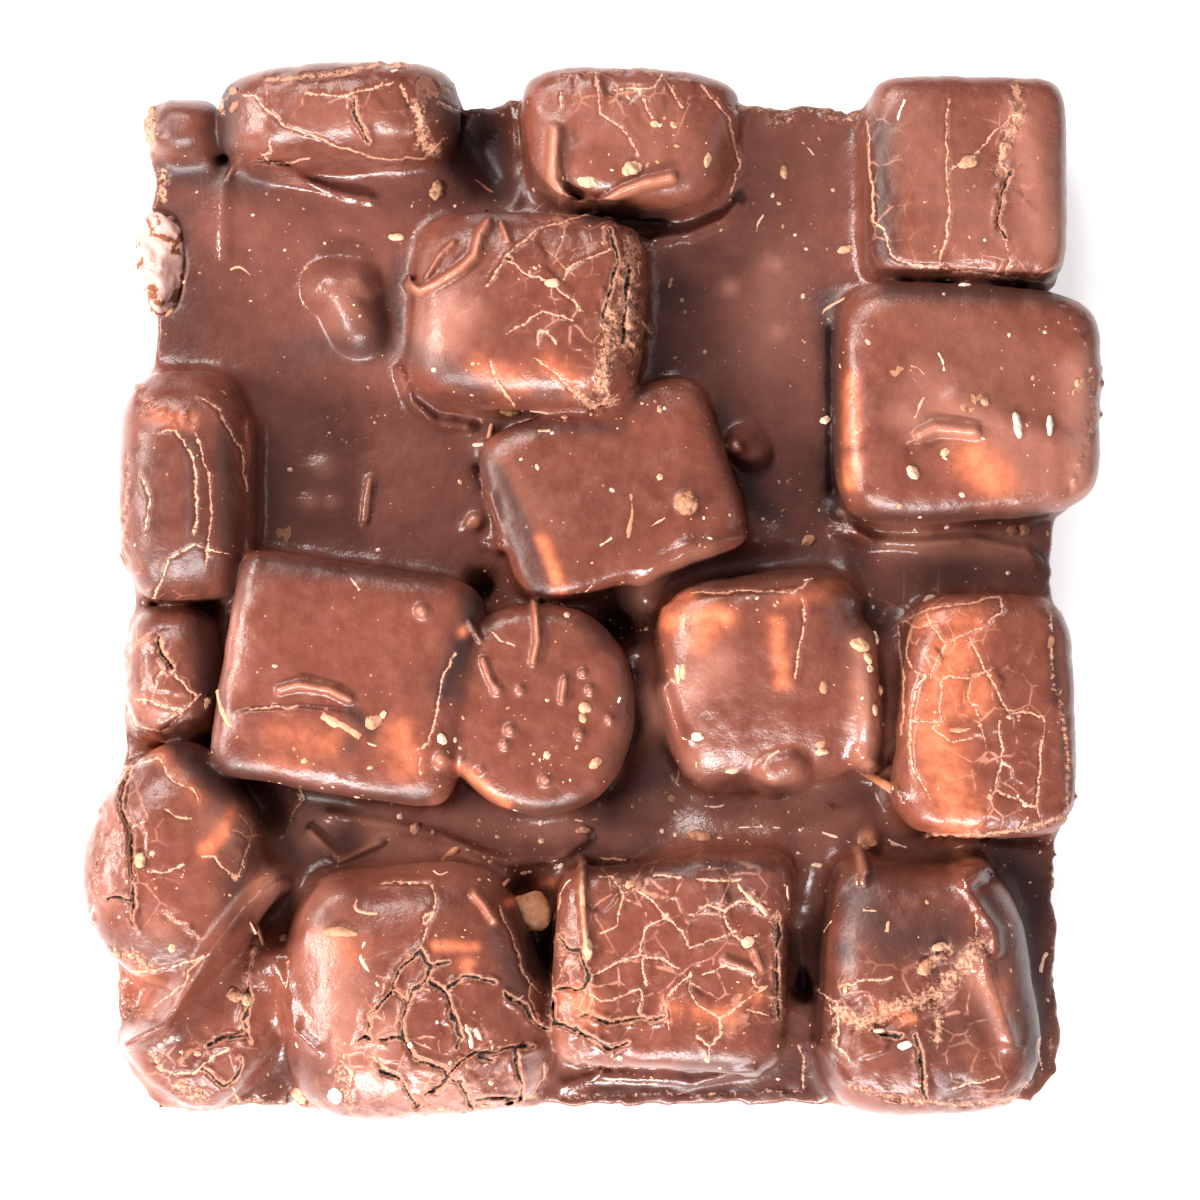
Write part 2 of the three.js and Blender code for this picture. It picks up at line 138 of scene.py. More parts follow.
# Bumps of nut and rice under the coat, and coated shreds: route, half width, rise in millimetres.
RIDGES = [
    ([(337, 290), (345, 298), (360, 328)], 34, 3.2), ([(330, 288), (356, 290)], 32, 3.0),
    ([(745, 445), (752, 452)], 24, 2.2), ([(970, 868)], 22, 2.0), ([(775, 775), (790, 772)], 26, 1.8),
    ([(870, 840)], 14, 1.2), ([(685, 503)], 12, 0.9), ([(475, 522)], 12, 0.8), ([(443, 760)], 12, 0.9),
    ([(583, 673)], 6, 0.6), ([(510, 730)], 8, 0.7), ([(497, 690)], 8, 0.8), ([(422, 611)], 10, 0.8),
    ([(725, 960), (755, 972)], 6, 0.5), ([(280, 690), (300, 685), (330, 690), (350, 700)], 6, 0.9),
    ([(920, 435), (935, 428), (975, 432)], 8, 1.0),
    ([(488, 222), (480, 235), (475, 255), (462, 268), (435, 285), (420, 292), (408, 285)], 6, 1.1),
    ([(454, 242), (440, 255), (426, 278)], 3, 0.6), ([(501, 222), (508, 240)], 4, 0.7),
    ([(535, 603), (538, 640), (533, 662)], 5, 0.9), ([(483, 660), (490, 680), (497, 690)], 5, 0.6),
    ([(583, 860), (582, 900), (588, 955)], 6, 0.9), ([(370, 480), (365, 520)], 6, 0.6),
    ([(565, 680), (562, 700)], 5, 0.7), ([(475, 893), (485, 905), (495, 920)], 6, 0.9),
    ([(310, 830), (330, 850), (340, 860), (355, 853), (380, 842)], 6, 0.7),
    ([(858, 850), (862, 880)], 7, 0.7), ([(755, 952), (762, 970)], 5, 0.5),
    ([(555, 130), (552, 180), (566, 205), (598, 208)], 8, 1.0),
    ([(602, 207), (622, 193), (645, 184), (672, 178)], 8, 1.4), ([(240, 158), (228, 178)], 4, 0.6),
    ([(470, 622), (480, 640)], 4, 0.6), ([(590, 690)], 7, 0.6), ([(610, 720)], 6, 0.6),
    ([(580, 735)], 7, 0.7), ([(520, 690)], 7, 0.5), ([(545, 780)], 8, 0.6), ([(505, 745)], 7, 0.6),
    ([(480, 770)], 6, 0.5),
]  # fmt: skip
# Folds of poured chocolate in the bed: route, half width, rise in millimetres.
FOLDS = [
    ([(400, 372), (412, 404), (435, 424), (468, 428)], 7, 0.9),
    ([(490, 495), (497, 520), (500, 548)], 6, 0.6), ([(465, 530), (478, 543), (500, 550)], 6, 0.6),
    ([(640, 592), (655, 570), (690, 550), (780, 540)], 14, 1.0),
    ([(330, 815), (400, 828), (440, 836), (470, 848)], 7, 0.9),
    ([(480, 852), (510, 862), (555, 858), (585, 838)], 7, 0.9),
    ([(835, 532), (880, 543), (925, 545), (975, 541), (1025, 552), (1037, 562)], 7, 0.9),
    ([(835, 515), (870, 545)], 7, 0.6),
    ([(133, 1040), (168, 1022), (190, 990), (215, 950), (250, 905), (283, 878)], 15, 2.2),
    ([(133, 1040), (168, 1022), (190, 990), (215, 950), (250, 905), (283, 878)], 6, 1.0),
    ([(775, 265)], 18, 0.45), ([(730, 287)], 13, 0.4), ([(778, 330)], 13, 0.4), ([(325, 470)], 17, 0.6),
    ([(310, 503)], 12, 0.5), ([(332, 505)], 12, 0.5), ([(700, 850), (830, 850)], 46, 2.6),
    ([(265, 965), (295, 915), (330, 890)], 28, 1.3),
    ([(655, 240), (690, 235), (725, 220), (738, 205)], 7, 1.1),
    ([(275, 950), (283, 990), (290, 1020)], 13, 1.0), ([(295, 1030), (318, 1050)], 6, 0.6),
    ([(565, 1085), (600, 1076), (680, 1080)], 7, 0.6), ([(690, 1083), (755, 1070)], 6, 0.6),
    ([(868, 640), (870, 760)], 16, 1.6), ([(960, 880), (995, 930), (997, 950)], 7, 0.8),
    ([(985, 960), (990, 985), (1010, 1040)], 9, 0.9), ([(815, 1040), (845, 1080)], 5, 0.5),
    ([(258, 170), (290, 178), (335, 193), (370, 200)], 7, 0.8),
    ([(662, 688), (668, 710), (680, 738)], 10, 0.9), ([(955, 400), (1060, 440)], 16, 0.6),
    ([(840, 545), (860, 600)], 10, 0.6), ([(860, 760), (895, 800)], 12, 0.7),
    ([(510, 105), (515, 200)], 9, 0.8), ([(225, 185), (225, 255)], 8, 0.5),
    ([(255, 430), (255, 560)], 9, 0.5),
]  # fmt: skip
# Steps in the coat, where one layer lies over another: route, reach, height of its right-hand side.
LEDGES = [
    ([(568, 122), (560, 150), (565, 190), (585, 208)], 20, 1.4),
    ([(655, 608), (700, 596), (760, 592), (815, 584)], 16, 0.8),
    ([(985, 440), (940, 436), (900, 446)], 14, 0.8), ([(230, 712), (300, 707), (355, 712)], 18, 0.7),
    ([(628, 1040), (605, 1047), (575, 1028)], 14, 1.0),
    ([(205, 1050), (230, 1040), (250, 1032)], 12, 1.2),
    ([(945, 990), (920, 1003), (880, 1018), (858, 1026)], 22, 1.6),
    ([(130, 770), (123, 810), (133, 870), (135, 930)], 22, 0.7),
    ([(436, 150), (425, 128), (412, 105)], 16, 0.8), ([(420, 950), (392, 985), (380, 1005)], 16, 0.5),
    ([(448, 1078), (475, 1056), (535, 1047)], 18, 0.8),
    ([(522, 1100), (521, 1075), (515, 1048)], 14, 0.6), ([(203, 700), (185, 712), (155, 732)], 16, 0.7),
    ([(870, 1024), (890, 1040), (885, 1052), (858, 1060)], 10, 0.8),
    ([(1000, 1045), (1026, 1046)], 14, 0.7), ([(560, 935), (582, 950), (590, 978)], 12, 0.4),
    ([(690, 948), (718, 940), (737, 930)], 12, 0.4),
]  # fmt: skip
# Hollows down into the bed between marshmallows: route, reach, depth in millimetres.
HOLLOWS = [
    ([(485, 590), (465, 640), (445, 690)], 18, 4.5), ([(212, 430), (222, 500), (228, 570)], 16, 3.0),
    ([(200, 610), (205, 680)], 16, 3.5), ([(175, 752), (225, 775), (262, 810)], 20, 4.5),
    ([(615, 622)], 20, 4.5), ([(528, 900), (532, 975)], 22, 4.0), ([(800, 930), (805, 985)], 12, 3.0),
    ([(462, 130), (495, 175)], 26, 3.2), ([(592, 216), (655, 220)], 11, 2.6),
    ([(224, 105), (224, 150)], 11, 3.5), ([(505, 436), (610, 437)], 10, 1.2),
    ([(885, 286), (1060, 292)], 7, 2.0), ([(484, 470), (512, 545)], 11, 2.0),
    ([(630, 670), (630, 740), (605, 790)], 13, 1.8), ([(835, 330), (835, 490)], 8, 1.6),
    ([(160, 604), (190, 600)], 8, 2.5), ([(985, 835), (1040, 840)], 8, 1.6),
]  # fmt: skip
# Hairline cracks, where a coat has parted a little.
HAIRLINES = [
    [(236, 95), (256, 96), (263, 106), (282, 122), (305, 132), (333, 146), (362, 155), (390, 160),
     (425, 158), (445, 138)],
    [(262, 156), (272, 154), (270, 142)], [(265, 157), (270, 164), (308, 159)],
    [(305, 92), (340, 99), (396, 81)], [(400, 85), (412, 108), (425, 105)], [(440, 103), (470, 117)],
    [(560, 92), (563, 108)], [(665, 80), (683, 108)], [(610, 90), (655, 86), (665, 72)],
    [(638, 90), (655, 118)], [(700, 85), (728, 115), (740, 165), (728, 198)],
    [(866, 120), (873, 200), (873, 222), (885, 232), (890, 255), (897, 262), (945, 268), (1000, 278),
     (1060, 285)],
    [(948, 95), (947, 150), (951, 215), (940, 265)], [(1010, 115), (985, 145), (952, 170)],
    [(540, 228), (560, 222), (600, 212)], [(540, 228), (505, 258), (485, 290)],
    [(505, 257), (532, 275), (550, 283), (575, 300), (583, 312)], [(508, 335), (540, 313), (575, 320)],
    [(563, 280), (568, 268), (585, 258), (612, 248)], [(540, 345), (538, 332), (548, 332), (555, 345)],
    [(600, 325), (620, 345)], [(640, 322), (650, 335)], [(490, 358), (495, 378), (515, 408)],
    [(530, 357), (550, 368), (575, 392), (592, 408), (612, 398), (602, 378), (605, 352)],
    [(200, 397), (218, 412), (240, 445), (248, 490)], [(195, 545), (170, 560), (157, 590), (155, 600)],
    [(195, 545), (230, 555)], [(172, 670), (188, 690), (198, 697)], [(165, 668), (157, 680), (153, 697)],
    [(133, 698), (150, 702), (180, 712), (200, 695)], [(125, 700), (135, 725), (160, 732), (185, 712)],
    [(115, 765), (130, 768), (150, 762), (160, 758), (168, 775), (180, 785), (195, 790), (198, 808)],
    [(163, 810), (175, 818), (190, 818)], [(145, 870), (165, 872), (185, 866)], [(130, 828), (145, 820)],
    [(200, 858), (215, 857), (225, 868), (237, 880), (248, 850), (252, 838), (262, 835)],
    [(230, 830), (245, 837), (252, 838), (248, 822), (240, 815)], [(250, 710), (275, 708), (300, 707)],
    [(455, 650), (443, 680), (433, 730), (428, 742), (415, 748)], [(420, 755), (422, 775)],
    [(490, 628), (500, 640), (515, 645)], [(690, 595), (740, 590), (790, 592), (812, 580)],
    [(804, 595), (805, 620), (798, 650), (797, 682)], [(300, 790), (302, 800), (290, 815), (287, 830)],
    [(902, 622), (915, 615), (945, 606), (985, 600), (1000, 598), (1005, 610), (980, 628), (945, 643)],
    [(905, 620), (912, 626), (930, 625)], [(927, 612), (932, 628), (945, 643), (935, 668), (930, 680)],
    [(912, 626), (905, 655), (912, 670), (925, 677), (913, 690), (908, 745), (912, 765), (930, 800)],
    [(970, 637), (985, 668), (998, 688), (1008, 712), (1030, 712), (1045, 718)],
    [(898, 625), (902, 690), (902, 735)],
    [(943, 725), (940, 700), (943, 680), (950, 675), (970, 680), (985, 672)], [(910, 720), (945, 722)],
    [(970, 682), (968, 695), (980, 720)],
    [(1000, 718), (1002, 760), (997, 790), (1015, 798), (1038, 810)],
    [(1045, 718), (1042, 750), (1040, 790), (1038, 810), (1043, 822)], [(1002, 762), (1010, 768)],
    [(930, 725), (950, 740), (980, 735)], [(1020, 830), (1030, 815)],
    [(130, 970), (150, 970), (190, 963), (203, 957), (190, 970), (185, 985), (155, 1010)],
    [(150, 1050), (160, 1068), (175, 1075), (195, 1075), (215, 1055), (235, 1050)],
    [(233, 1085), (240, 1100)], [(380, 882), (405, 881), (430, 882), (437, 900), (428, 925), (420, 948)],
    [(425, 925), (427, 912), (434, 914)], [(545, 1062), (545, 1080), (525, 1100)],
    [(500, 905), (516, 950), (520, 970), (530, 985), (548, 995)],
    [(530, 985), (528, 1000), (545, 1027), (550, 1015)],
    [(560, 895), (555, 920), (552, 950), (553, 1000)],
    [(592, 975), (610, 965), (640, 953), (665, 960), (680, 968)], [(640, 953), (645, 930), (668, 912)],
    [(600, 935), (617, 925), (620, 905), (622, 895), (610, 878), (600, 877)], [(650, 875), (680, 875)],
    [(622, 895), (635, 890), (650, 900), (675, 925), (690, 948), (718, 940), (737, 930)],
    [(583, 988), (600, 1003), (615, 1000), (640, 988), (643, 998), (640, 1015)], [(643, 953), (645, 985)],
    [(690, 878), (715, 880), (745, 880)], [(690, 915), (705, 905), (725, 912), (740, 900), (760, 905)],
    [(725, 915), (730, 935), (745, 945), (760, 935)],
    [(765, 985), (755, 985), (750, 972), (725, 965), (700, 975)],
    [(690, 970), (690, 990), (697, 1003), (720, 1017), (735, 1008), (765, 985)],
    [(664, 1000), (690, 975)], [(720, 1017), (720, 1035), (710, 1045), (710, 1058)],
    [(695, 1035), (710, 1045)], [(664, 1000), (670, 1030)], [(745, 1010), (770, 1018)],
    [(600, 857), (625, 858)], [(840, 985), (855, 982), (880, 980), (895, 975)],
    [(815, 990), (835, 1000), (838, 1030), (835, 1045), (850, 1060)],
    [(800, 1045), (805, 1060), (802, 1090)], [(950, 1090), (990, 1080), (1000, 1075)],
    [(1040, 1040), (1042, 1070)], [(975, 915), (975, 935)], [(340, 1060), (352, 1075), (345, 1100)],
    [(372, 1055), (385, 1068)], [(597, 70), (598, 100), (600, 112), (620, 125), (640, 158)],
    [(1016, 88), (1018, 110), (1005, 140), (1000, 165), (1010, 173)],
    [(1004, 240), (1010, 262), (1006, 276)],
    [(150, 432), (175, 430), (185, 440), (194, 465), (198, 500), (195, 540)],
    [(195, 430), (208, 470), (212, 520), (205, 570)], [(140, 470), (150, 500), (145, 530)],
]  # fmt: skip
# Open cracks, painted near-black inside as shade.
SPLITS = [
    [(355, 98), (353, 113), (358, 122), (370, 142)], [(610, 228), (618, 260), (612, 285), (602, 318)],
    [(628, 262), (625, 290), (622, 345)], [(1010, 173), (1000, 195), (998, 222), (1004, 240)],
    [(508, 258), (512, 259)], [(158, 640), (165, 660), (172, 670)],
    [(130, 770), (123, 785), (122, 810), (130, 830), (133, 870), (132, 900), (135, 930)],
    [(105, 897), (120, 898), (133, 903)],
    [(255, 950), (252, 965), (246, 990), (250, 1003), (244, 1020), (250, 1042)],
    [(206, 1046), (230, 1038), (250, 1036)],
    [(242, 1060), (232, 1082), (222, 1085), (212, 1075), (203, 1070)],
    [(420, 950), (410, 963), (398, 970), (392, 980), (390, 995), (378, 1005), (368, 1015), (368, 1030)],
    [(420, 950), (427, 963), (432, 967), (448, 963)],
    [(432, 967), (425, 982), (412, 993), (408, 1002), (392, 990)],
    [(425, 982), (440, 988), (446, 995), (454, 1022), (460, 1036), (455, 1048)],
    [(357, 1043), (365, 1037), (370, 1040)], [(446, 988), (465, 978), (498, 984)],
    [(408, 1002), (403, 1020), (402, 1038), (415, 1060), (445, 1070), (448, 1078)],
    [(448, 1078), (460, 1062), (475, 1055), (515, 1048), (535, 1047)],
    [(515, 1048), (521, 1080), (522, 1100)], [(448, 1078), (460, 1085), (472, 1108)],
    [(402, 1080), (415, 1108), (425, 1095), (448, 1078)], [(380, 1070), (392, 1075), (402, 1080)],
    [(475, 1099), (515, 1098)], [(380, 1040), (395, 1036), (402, 1038)], [(478, 1059), (492, 1060)],
    [(505, 995), (520, 1005), (540, 1028), (550, 1030)], [(553, 998), (554, 1025)],
    [(560, 935), (570, 948), (580, 948), (590, 978), (583, 988), (555, 988)],
    [(628, 1042), (610, 1049), (590, 1040), (575, 1028)],
    [(575, 1018), (590, 1016), (610, 1022), (635, 1018), (650, 1022), (665, 1015)],
    [(915, 1035), (920, 1055), (922, 1075), (925, 1100)], [(870, 1028), (885, 1034), (902, 1034)],
    [(555, 1025), (575, 1030)], [(778, 915), (776, 960), (780, 1020)],
]  # fmt: skip
# Where the coat has broken into crumbs: route, reach, strength.
CRUMBLES = [
    ([(150, 105), (148, 150)], 12, 1), ([(163, 172), (163, 200)], 7, 1), ([(218, 92), (222, 112)], 6, 1),
    ([(268, 80), (330, 75), (382, 63), (405, 66)], 5, 1), ([(418, 105), (422, 145), (436, 152)], 10, 1),
    ([(415, 80), (470, 95), (515, 103)], 4, 0.8), ([(560, 76), (630, 70), (690, 80)], 4, 0.7),
    ([(575, 90)], 12, 0.5), ([(632, 242), (628, 290), (630, 345)], 15, 1),
    ([(612, 310), (610, 335), (600, 390)], 13, 1), ([(585, 318)], 9, 0.5),
    ([(770, 122), (790, 120)], 10, 0.7), ([(830, 118), (850, 118)], 9, 0.7),
    ([(730, 108), (865, 112)], 4, 0.8), ([(575, 392), (592, 408), (614, 400)], 8, 1),
    ([(132, 375), (148, 405)], 12, 0.7), ([(150, 412), (190, 420)], 9, 0.5),
    ([(1075, 390), (1090, 370), (1094, 420), (1070, 490)], 4, 0.8), ([(1060, 300), (1085, 345)], 3, 0.6),
    ([(207, 700)], 7, 1), ([(140, 725)], 9, 0.7), ([(118, 860), (150, 855)], 7, 0.8),
    ([(140, 862)], 8, 1), ([(110, 780), (98, 860), (95, 900), (85, 940)], 9, 0.6),
    ([(160, 912), (185, 925), (198, 940)], 5, 0.9), ([(100, 950), (130, 955), (148, 965)], 10, 0.9),
    ([(125, 985), (130, 1010), (150, 1015)], 12, 0.7),
    ([(840, 1010), (860, 1024), (900, 1006), (930, 1000), (960, 970), (978, 945)], 15, 1),
    ([(925, 968), (945, 950)], 14, 0.9), ([(940, 1018), (935, 1042)], 8, 0.9), ([(845, 988)], 8, 0.8),
    ([(830, 1000), (835, 1040)], 5, 0.7), ([(772, 915), (778, 960), (775, 1020)], 7, 0.8),
    ([(925, 835), (985, 835), (1030, 828), (1062, 817)], 4, 1),
    ([(565, 920), (560, 935), (562, 980)], 5, 0.7), ([(570, 1055), (600, 1072), (620, 1060)], 7, 0.7),
    ([(180, 1085), (200, 1098)], 14, 0.9), ([(150, 1052), (165, 1072)], 5, 0.9),
    ([(340, 1070), (350, 1108)], 9, 0.8), ([(230, 1100), (330, 1104)], 4, 0.8),
    ([(410, 1110), (480, 1108), (540, 1095)], 6, 0.8), ([(360, 1108), (400, 1112)], 6, 0.6),
    ([(560, 1098), (690, 1093)], 4, 0.7), ([(690, 1096), (800, 1091)], 3, 0.8),
    ([(850, 1085), (900, 1100), (960, 1105), (1010, 1100), (1028, 1082)], 5, 0.9),
    ([(1050, 600), (1053, 690)], 3, 0.9), ([(1058, 690), (1068, 760), (1066, 815), (1054, 870)], 4, 0.9),
    ([(1053, 870), (1054, 900)], 5, 1), ([(1053, 900), (1050, 1070)], 3, 0.6),
    ([(128, 455), (125, 540), (127, 590)], 5, 0.7), ([(128, 600), (127, 690)], 4, 0.5),
    ([(158, 632), (165, 655)], 6, 0.9), ([(620, 885), (642, 890)], 9, 0.7), ([(748, 943)], 9, 0.9),
    ([(480, 1035)], 16, 0.6), ([(1016, 88), (1020, 120), (1004, 150), (996, 170)], 8, 1),
    ([(752, 892), (768, 912)], 6, 0.8), ([(700, 908), (745, 905)], 4, 0.8),
]  # fmt: skip
# Where a coat is thin and paler over the marshmallow, and painted light on lit sides and faces: route,
# reach, strength.
THIN_COAT_AND_PAINTED_LIGHT = [
    ([(955, 650), (935, 720), (950, 790), (958, 820)], 26, 0.8), ([(975, 690), (975, 700)], 20, 0.7),
    ([(672, 622), (700, 614), (725, 616)], 12, 1), ([(700, 640), (712, 620)], 14, 0.8),
    ([(776, 622), (782, 682)], 9, 0.8), ([(852, 380), (852, 440)], 9, 0.8),
    ([(853, 460), (850, 482)], 9, 1), ([(970, 458), (995, 478)], 20, 1), ([(542, 540), (560, 588)], 7, 1),
    ([(400, 735), (408, 765)], 18, 0.5), ([(463, 632)], 6, 1), ([(458, 765), (507, 804)], 5, 0.8),
    ([(231, 812), (222, 835), (206, 850)], 8, 1), ([(165, 760), (200, 800)], 8, 0.35),
    ([(160, 414), (190, 422)], 11, 0.5), ([(575, 1000), (585, 1010)], 18, 0.6), ([(672, 1008)], 12, 0.6),
    ([(700, 1014), (730, 1014)], 10, 0.6), ([(755, 998)], 10, 0.5), ([(480, 368), (520, 382)], 14, 0.5),
    ([(550, 365), (575, 385)], 14, 0.5), ([(595, 385)], 10, 0.5), ([(435, 946), (475, 946)], 6, 0.9),
    ([(468, 965)], 9, 0.8), ([(508, 904), (530, 888), (550, 882)], 5, 1),
    ([(660, 605), (690, 598)], 9, 0.5), ([(1000, 985), (1005, 1010)], 8, 0.5), ([(135, 990)], 22, 0.4),
    ([(280, 735), (330, 745)], 20, 0.3), ([(270, 760), (300, 765)], 12, 0.2),
    ([(785, 600), (830, 590)], 12, 0.35), ([(325, 940), (350, 950)], 16, 0.4),
    ([(925, 622), (975, 618)], 16, 0.6), ([(1000, 470)], 12, 0.6), ([(170, 285)], 10, 0.8),
    ([(150, 740), (165, 760)], 10, 0.4), ([(880, 1010), (910, 1018)], 8, 0.7),
]  # fmt: skip
# Paler stretches of coat: partly pale bloom, partly painted highlights and painted light where shadow fell
# too dark: route, reach, strength.
PALE_BLOOM_AND_PAINTED_LIGHT = [
    ([(110, 790), (105, 900)], 16, 0.4), ([(330, 960), (350, 1040)], 30, 0.8),
    ([(400, 1090), (460, 1090)], 24, 0.8), ([(385, 1030), (370, 1080)], 22, 0.8),
    ([(455, 315), (435, 345)], 28, 1), ([(255, 130)], 18, 0.2), ([(560, 110), (556, 190)], 16, 0.5),
    ([(640, 100), (690, 170)], 30, 0.3), ([(300, 110), (380, 130)], 24, 0.35),
    ([(900, 300), (1050, 380)], 40, 0.25), ([(150, 1000), (130, 960)], 20, 0.4), ([(160, 930)], 18, 0.7),
    ([(690, 690), (720, 660)], 22, 0.7), ([(150, 700), (165, 720)], 20, 0.6), ([(140, 640)], 14, 0.5),
    ([(135, 560)], 14, 0.3), ([(920, 240), (990, 240)], 30, 0.3), ([(560, 945)], 16, 0.5),
    ([(560, 1050), (520, 1085)], 20, 0.4), ([(480, 440), (540, 520)], 22, 0.3),
    ([(780, 270), (760, 350)], 34, 0.4), ([(230, 600), (235, 680)], 14, 0.5),
    ([(1020, 440), (960, 430)], 18, 0.6), ([(905, 415), (925, 425)], 18, 0.8),
    ([(1075, 370), (1078, 480)], 20, 1), ([(940, 400), (1040, 470)], 40, 0.7),
    ([(868, 640), (872, 760)], 20, 1), ([(560, 190), (575, 200)], 14, 0.7),
    ([(640, 600), (700, 565)], 20, 0.8), ([(655, 700), (650, 800)], 18, 0.9),
    ([(230, 818), (380, 835)], 26, 1), ([(268, 885)], 24, 1), ([(440, 815), (620, 838)], 16, 0.7),
    ([(1000, 850)], 16, 0.4), ([(890, 545), (1020, 548)], 14, 1), ([(790, 1015)], 12, 0.5),
    ([(1020, 120), (1040, 240)], 26, 0.8), ([(965, 960), (1010, 1040)], 14, 0.8),
    ([(345, 285), (355, 318)], 24, 0.5), ([(900, 130), (1000, 250)], 46, 0.45), ([(775, 265)], 14, 1),
    ([(730, 287)], 11, 1), ([(778, 330)], 11, 0.9), ([(790, 285), (770, 340)], 26, 0.4),
    ([(325, 470)], 15, 0.7), ([(310, 503)], 10, 0.8), ([(332, 505)], 10, 0.8),
    ([(690, 780), (830, 800)], 36, 0.5), ([(270, 900), (320, 900)], 30, 0.5),
    ([(590, 110), (650, 150)], 30, 0.4), ([(400, 850), (500, 870)], 22, 0.5),
]  # fmt: skip
# Painted shade: chocolate painted darker, down to near-black, where it lies in shadow: route, reach,
# strength.
PAINTED_SHADES = [
    ([(460, 120), (500, 190)], 32, 1), ([(590, 216), (665, 222)], 12, 1),
    ([(225, 110), (225, 150)], 10, 1), ([(155, 115), (185, 145)], 18, 0.5),
    ([(400, 260), (395, 320)], 12, 0.6), ([(480, 590), (460, 650), (445, 690)], 16, 1),
    ([(225, 440), (232, 590)], 18, 0.7), ([(200, 620), (208, 700)], 18, 0.9),
    ([(180, 750), (235, 785)], 24, 1), ([(230, 770), (330, 798), (420, 798)], 11, 0.8),
    ([(615, 622)], 26, 1), ([(528, 905), (532, 975)], 24, 1), ([(872, 612), (880, 622)], 20, 1),
    ([(802, 940), (806, 990)], 14, 0.8), ([(630, 680), (630, 740)], 16, 0.4),
    ([(500, 428), (620, 428)], 9, 0.6), ([(484, 460), (515, 540), (540, 590)], 13, 0.8),
    ([(828, 300), (832, 505)], 16, 1), ([(850, 518), (1040, 516)], 9, 0.8),
    ([(890, 288), (1060, 294)], 12, 0.9), ([(860, 515), (1040, 515)], 12, 0.5),
    ([(910, 570), (1040, 570)], 24, 0.45), ([(700, 575), (850, 560)], 22, 0.6),
    ([(580, 845), (650, 850)], 14, 0.4), ([(720, 900), (760, 890)], 20, 0.4),
    ([(1000, 850), (1040, 900)], 24, 0.8), ([(1030, 920), (1035, 1060)], 22, 0.8),
    ([(850, 895), (890, 940), (945, 935)], 34, 0.85), ([(920, 1050), (980, 1020)], 30, 0.5),
    ([(192, 430), (195, 570)], 20, 0.6), ([(820, 920), (825, 1060)], 20, 0.6),
    ([(690, 1070), (830, 1075)], 18, 0.6), ([(720, 410), (750, 500), (780, 520)], 12, 0.7),
    ([(190, 560), (200, 590)], 16, 0.5), ([(350, 330), (375, 330)], 20, 0.5),
    ([(880, 870), (940, 860)], 26, 0.5), ([(175, 1040), (190, 1065)], 22, 0.35),
    ([(610, 840), (620, 750)], 20, 0.4), ([(350, 710), (372, 730)], 8, 0.9),
    ([(230, 885), (235, 920)], 16, 0.6), ([(410, 400), (480, 400)], 14, 0.5),
    ([(520, 400), (600, 395)], 8, 0.4), ([(1050, 620), (1056, 700)], 7, 0.8),
    ([(225, 92), (222, 165)], 18, 1), ([(384, 300), (382, 350)], 13, 0.9),
    ([(140, 555), (215, 570)], 22, 0.5), ([(165, 172), (260, 182)], 18, 0.8),
    ([(178, 215), (185, 350)], 22, 0.5), ([(880, 125), (882, 250)], 18, 0.9),
    ([(150, 460), (160, 590)], 26, 0.45), ([(290, 350), (400, 345), (480, 388)], 18, 0.7),
    ([(235, 562), (440, 577)], 12, 0.7), ([(100, 950), (180, 955)], 26, 0.45), ([(322, 920)], 18, 0.7),
    ([(300, 1070)], 30, 0.45), ([(185, 1062)], 26, 0.4), ([(585, 868), (760, 868)], 12, 0.8),
    ([(843, 950)], 20, 0.9), ([(600, 1092), (830, 1090)], 10, 0.7), ([(950, 1085)], 26, 0.6),
    ([(990, 900), (1010, 950)], 14, 0.6), ([(515, 815), (590, 802)], 12, 0.7),
    ([(498, 470), (548, 580)], 8, 0.9), ([(475, 105), (505, 190)], 26, 1),
    ([(400, 260), (398, 330)], 10, 0.7), ([(345, 752), (352, 742)], 7, 0.8),
]  # fmt: skip
# Where the coat is covered by a net of fine cracks: route, reach, strength.
CRACKLES = [
    ([(560, 240), (575, 330)], 40, 1), ([(620, 240), (620, 340)], 30, 1),
    ([(930, 630), (1000, 700), (990, 790)], 46, 1), ([(600, 900), (740, 900)], 40, 1),
    ([(590, 980), (730, 990)], 50, 1), ([(400, 1000), (450, 1060)], 46, 1),
    ([(350, 1060), (480, 1090)], 30, 0.9), ([(880, 130), (890, 240)], 24, 0.8),
    ([(930, 260), (1050, 270)], 16, 0.8), ([(860, 1000), (960, 1010)], 40, 0.9),
    ([(140, 640), (170, 700)], 26, 0.9), ([(135, 790), (150, 900)], 26, 0.6),
    ([(150, 580), (180, 600)], 24, 0.6), ([(590, 90), (690, 110)], 26, 0.7),
    ([(270, 100), (420, 100)], 22, 0.6), ([(230, 1060), (170, 1060)], 30, 0.9),
    ([(930, 1060), (1000, 1080)], 26, 0.7), ([(1000, 130), (1020, 220)], 20, 0.8),
]  # fmt: skip
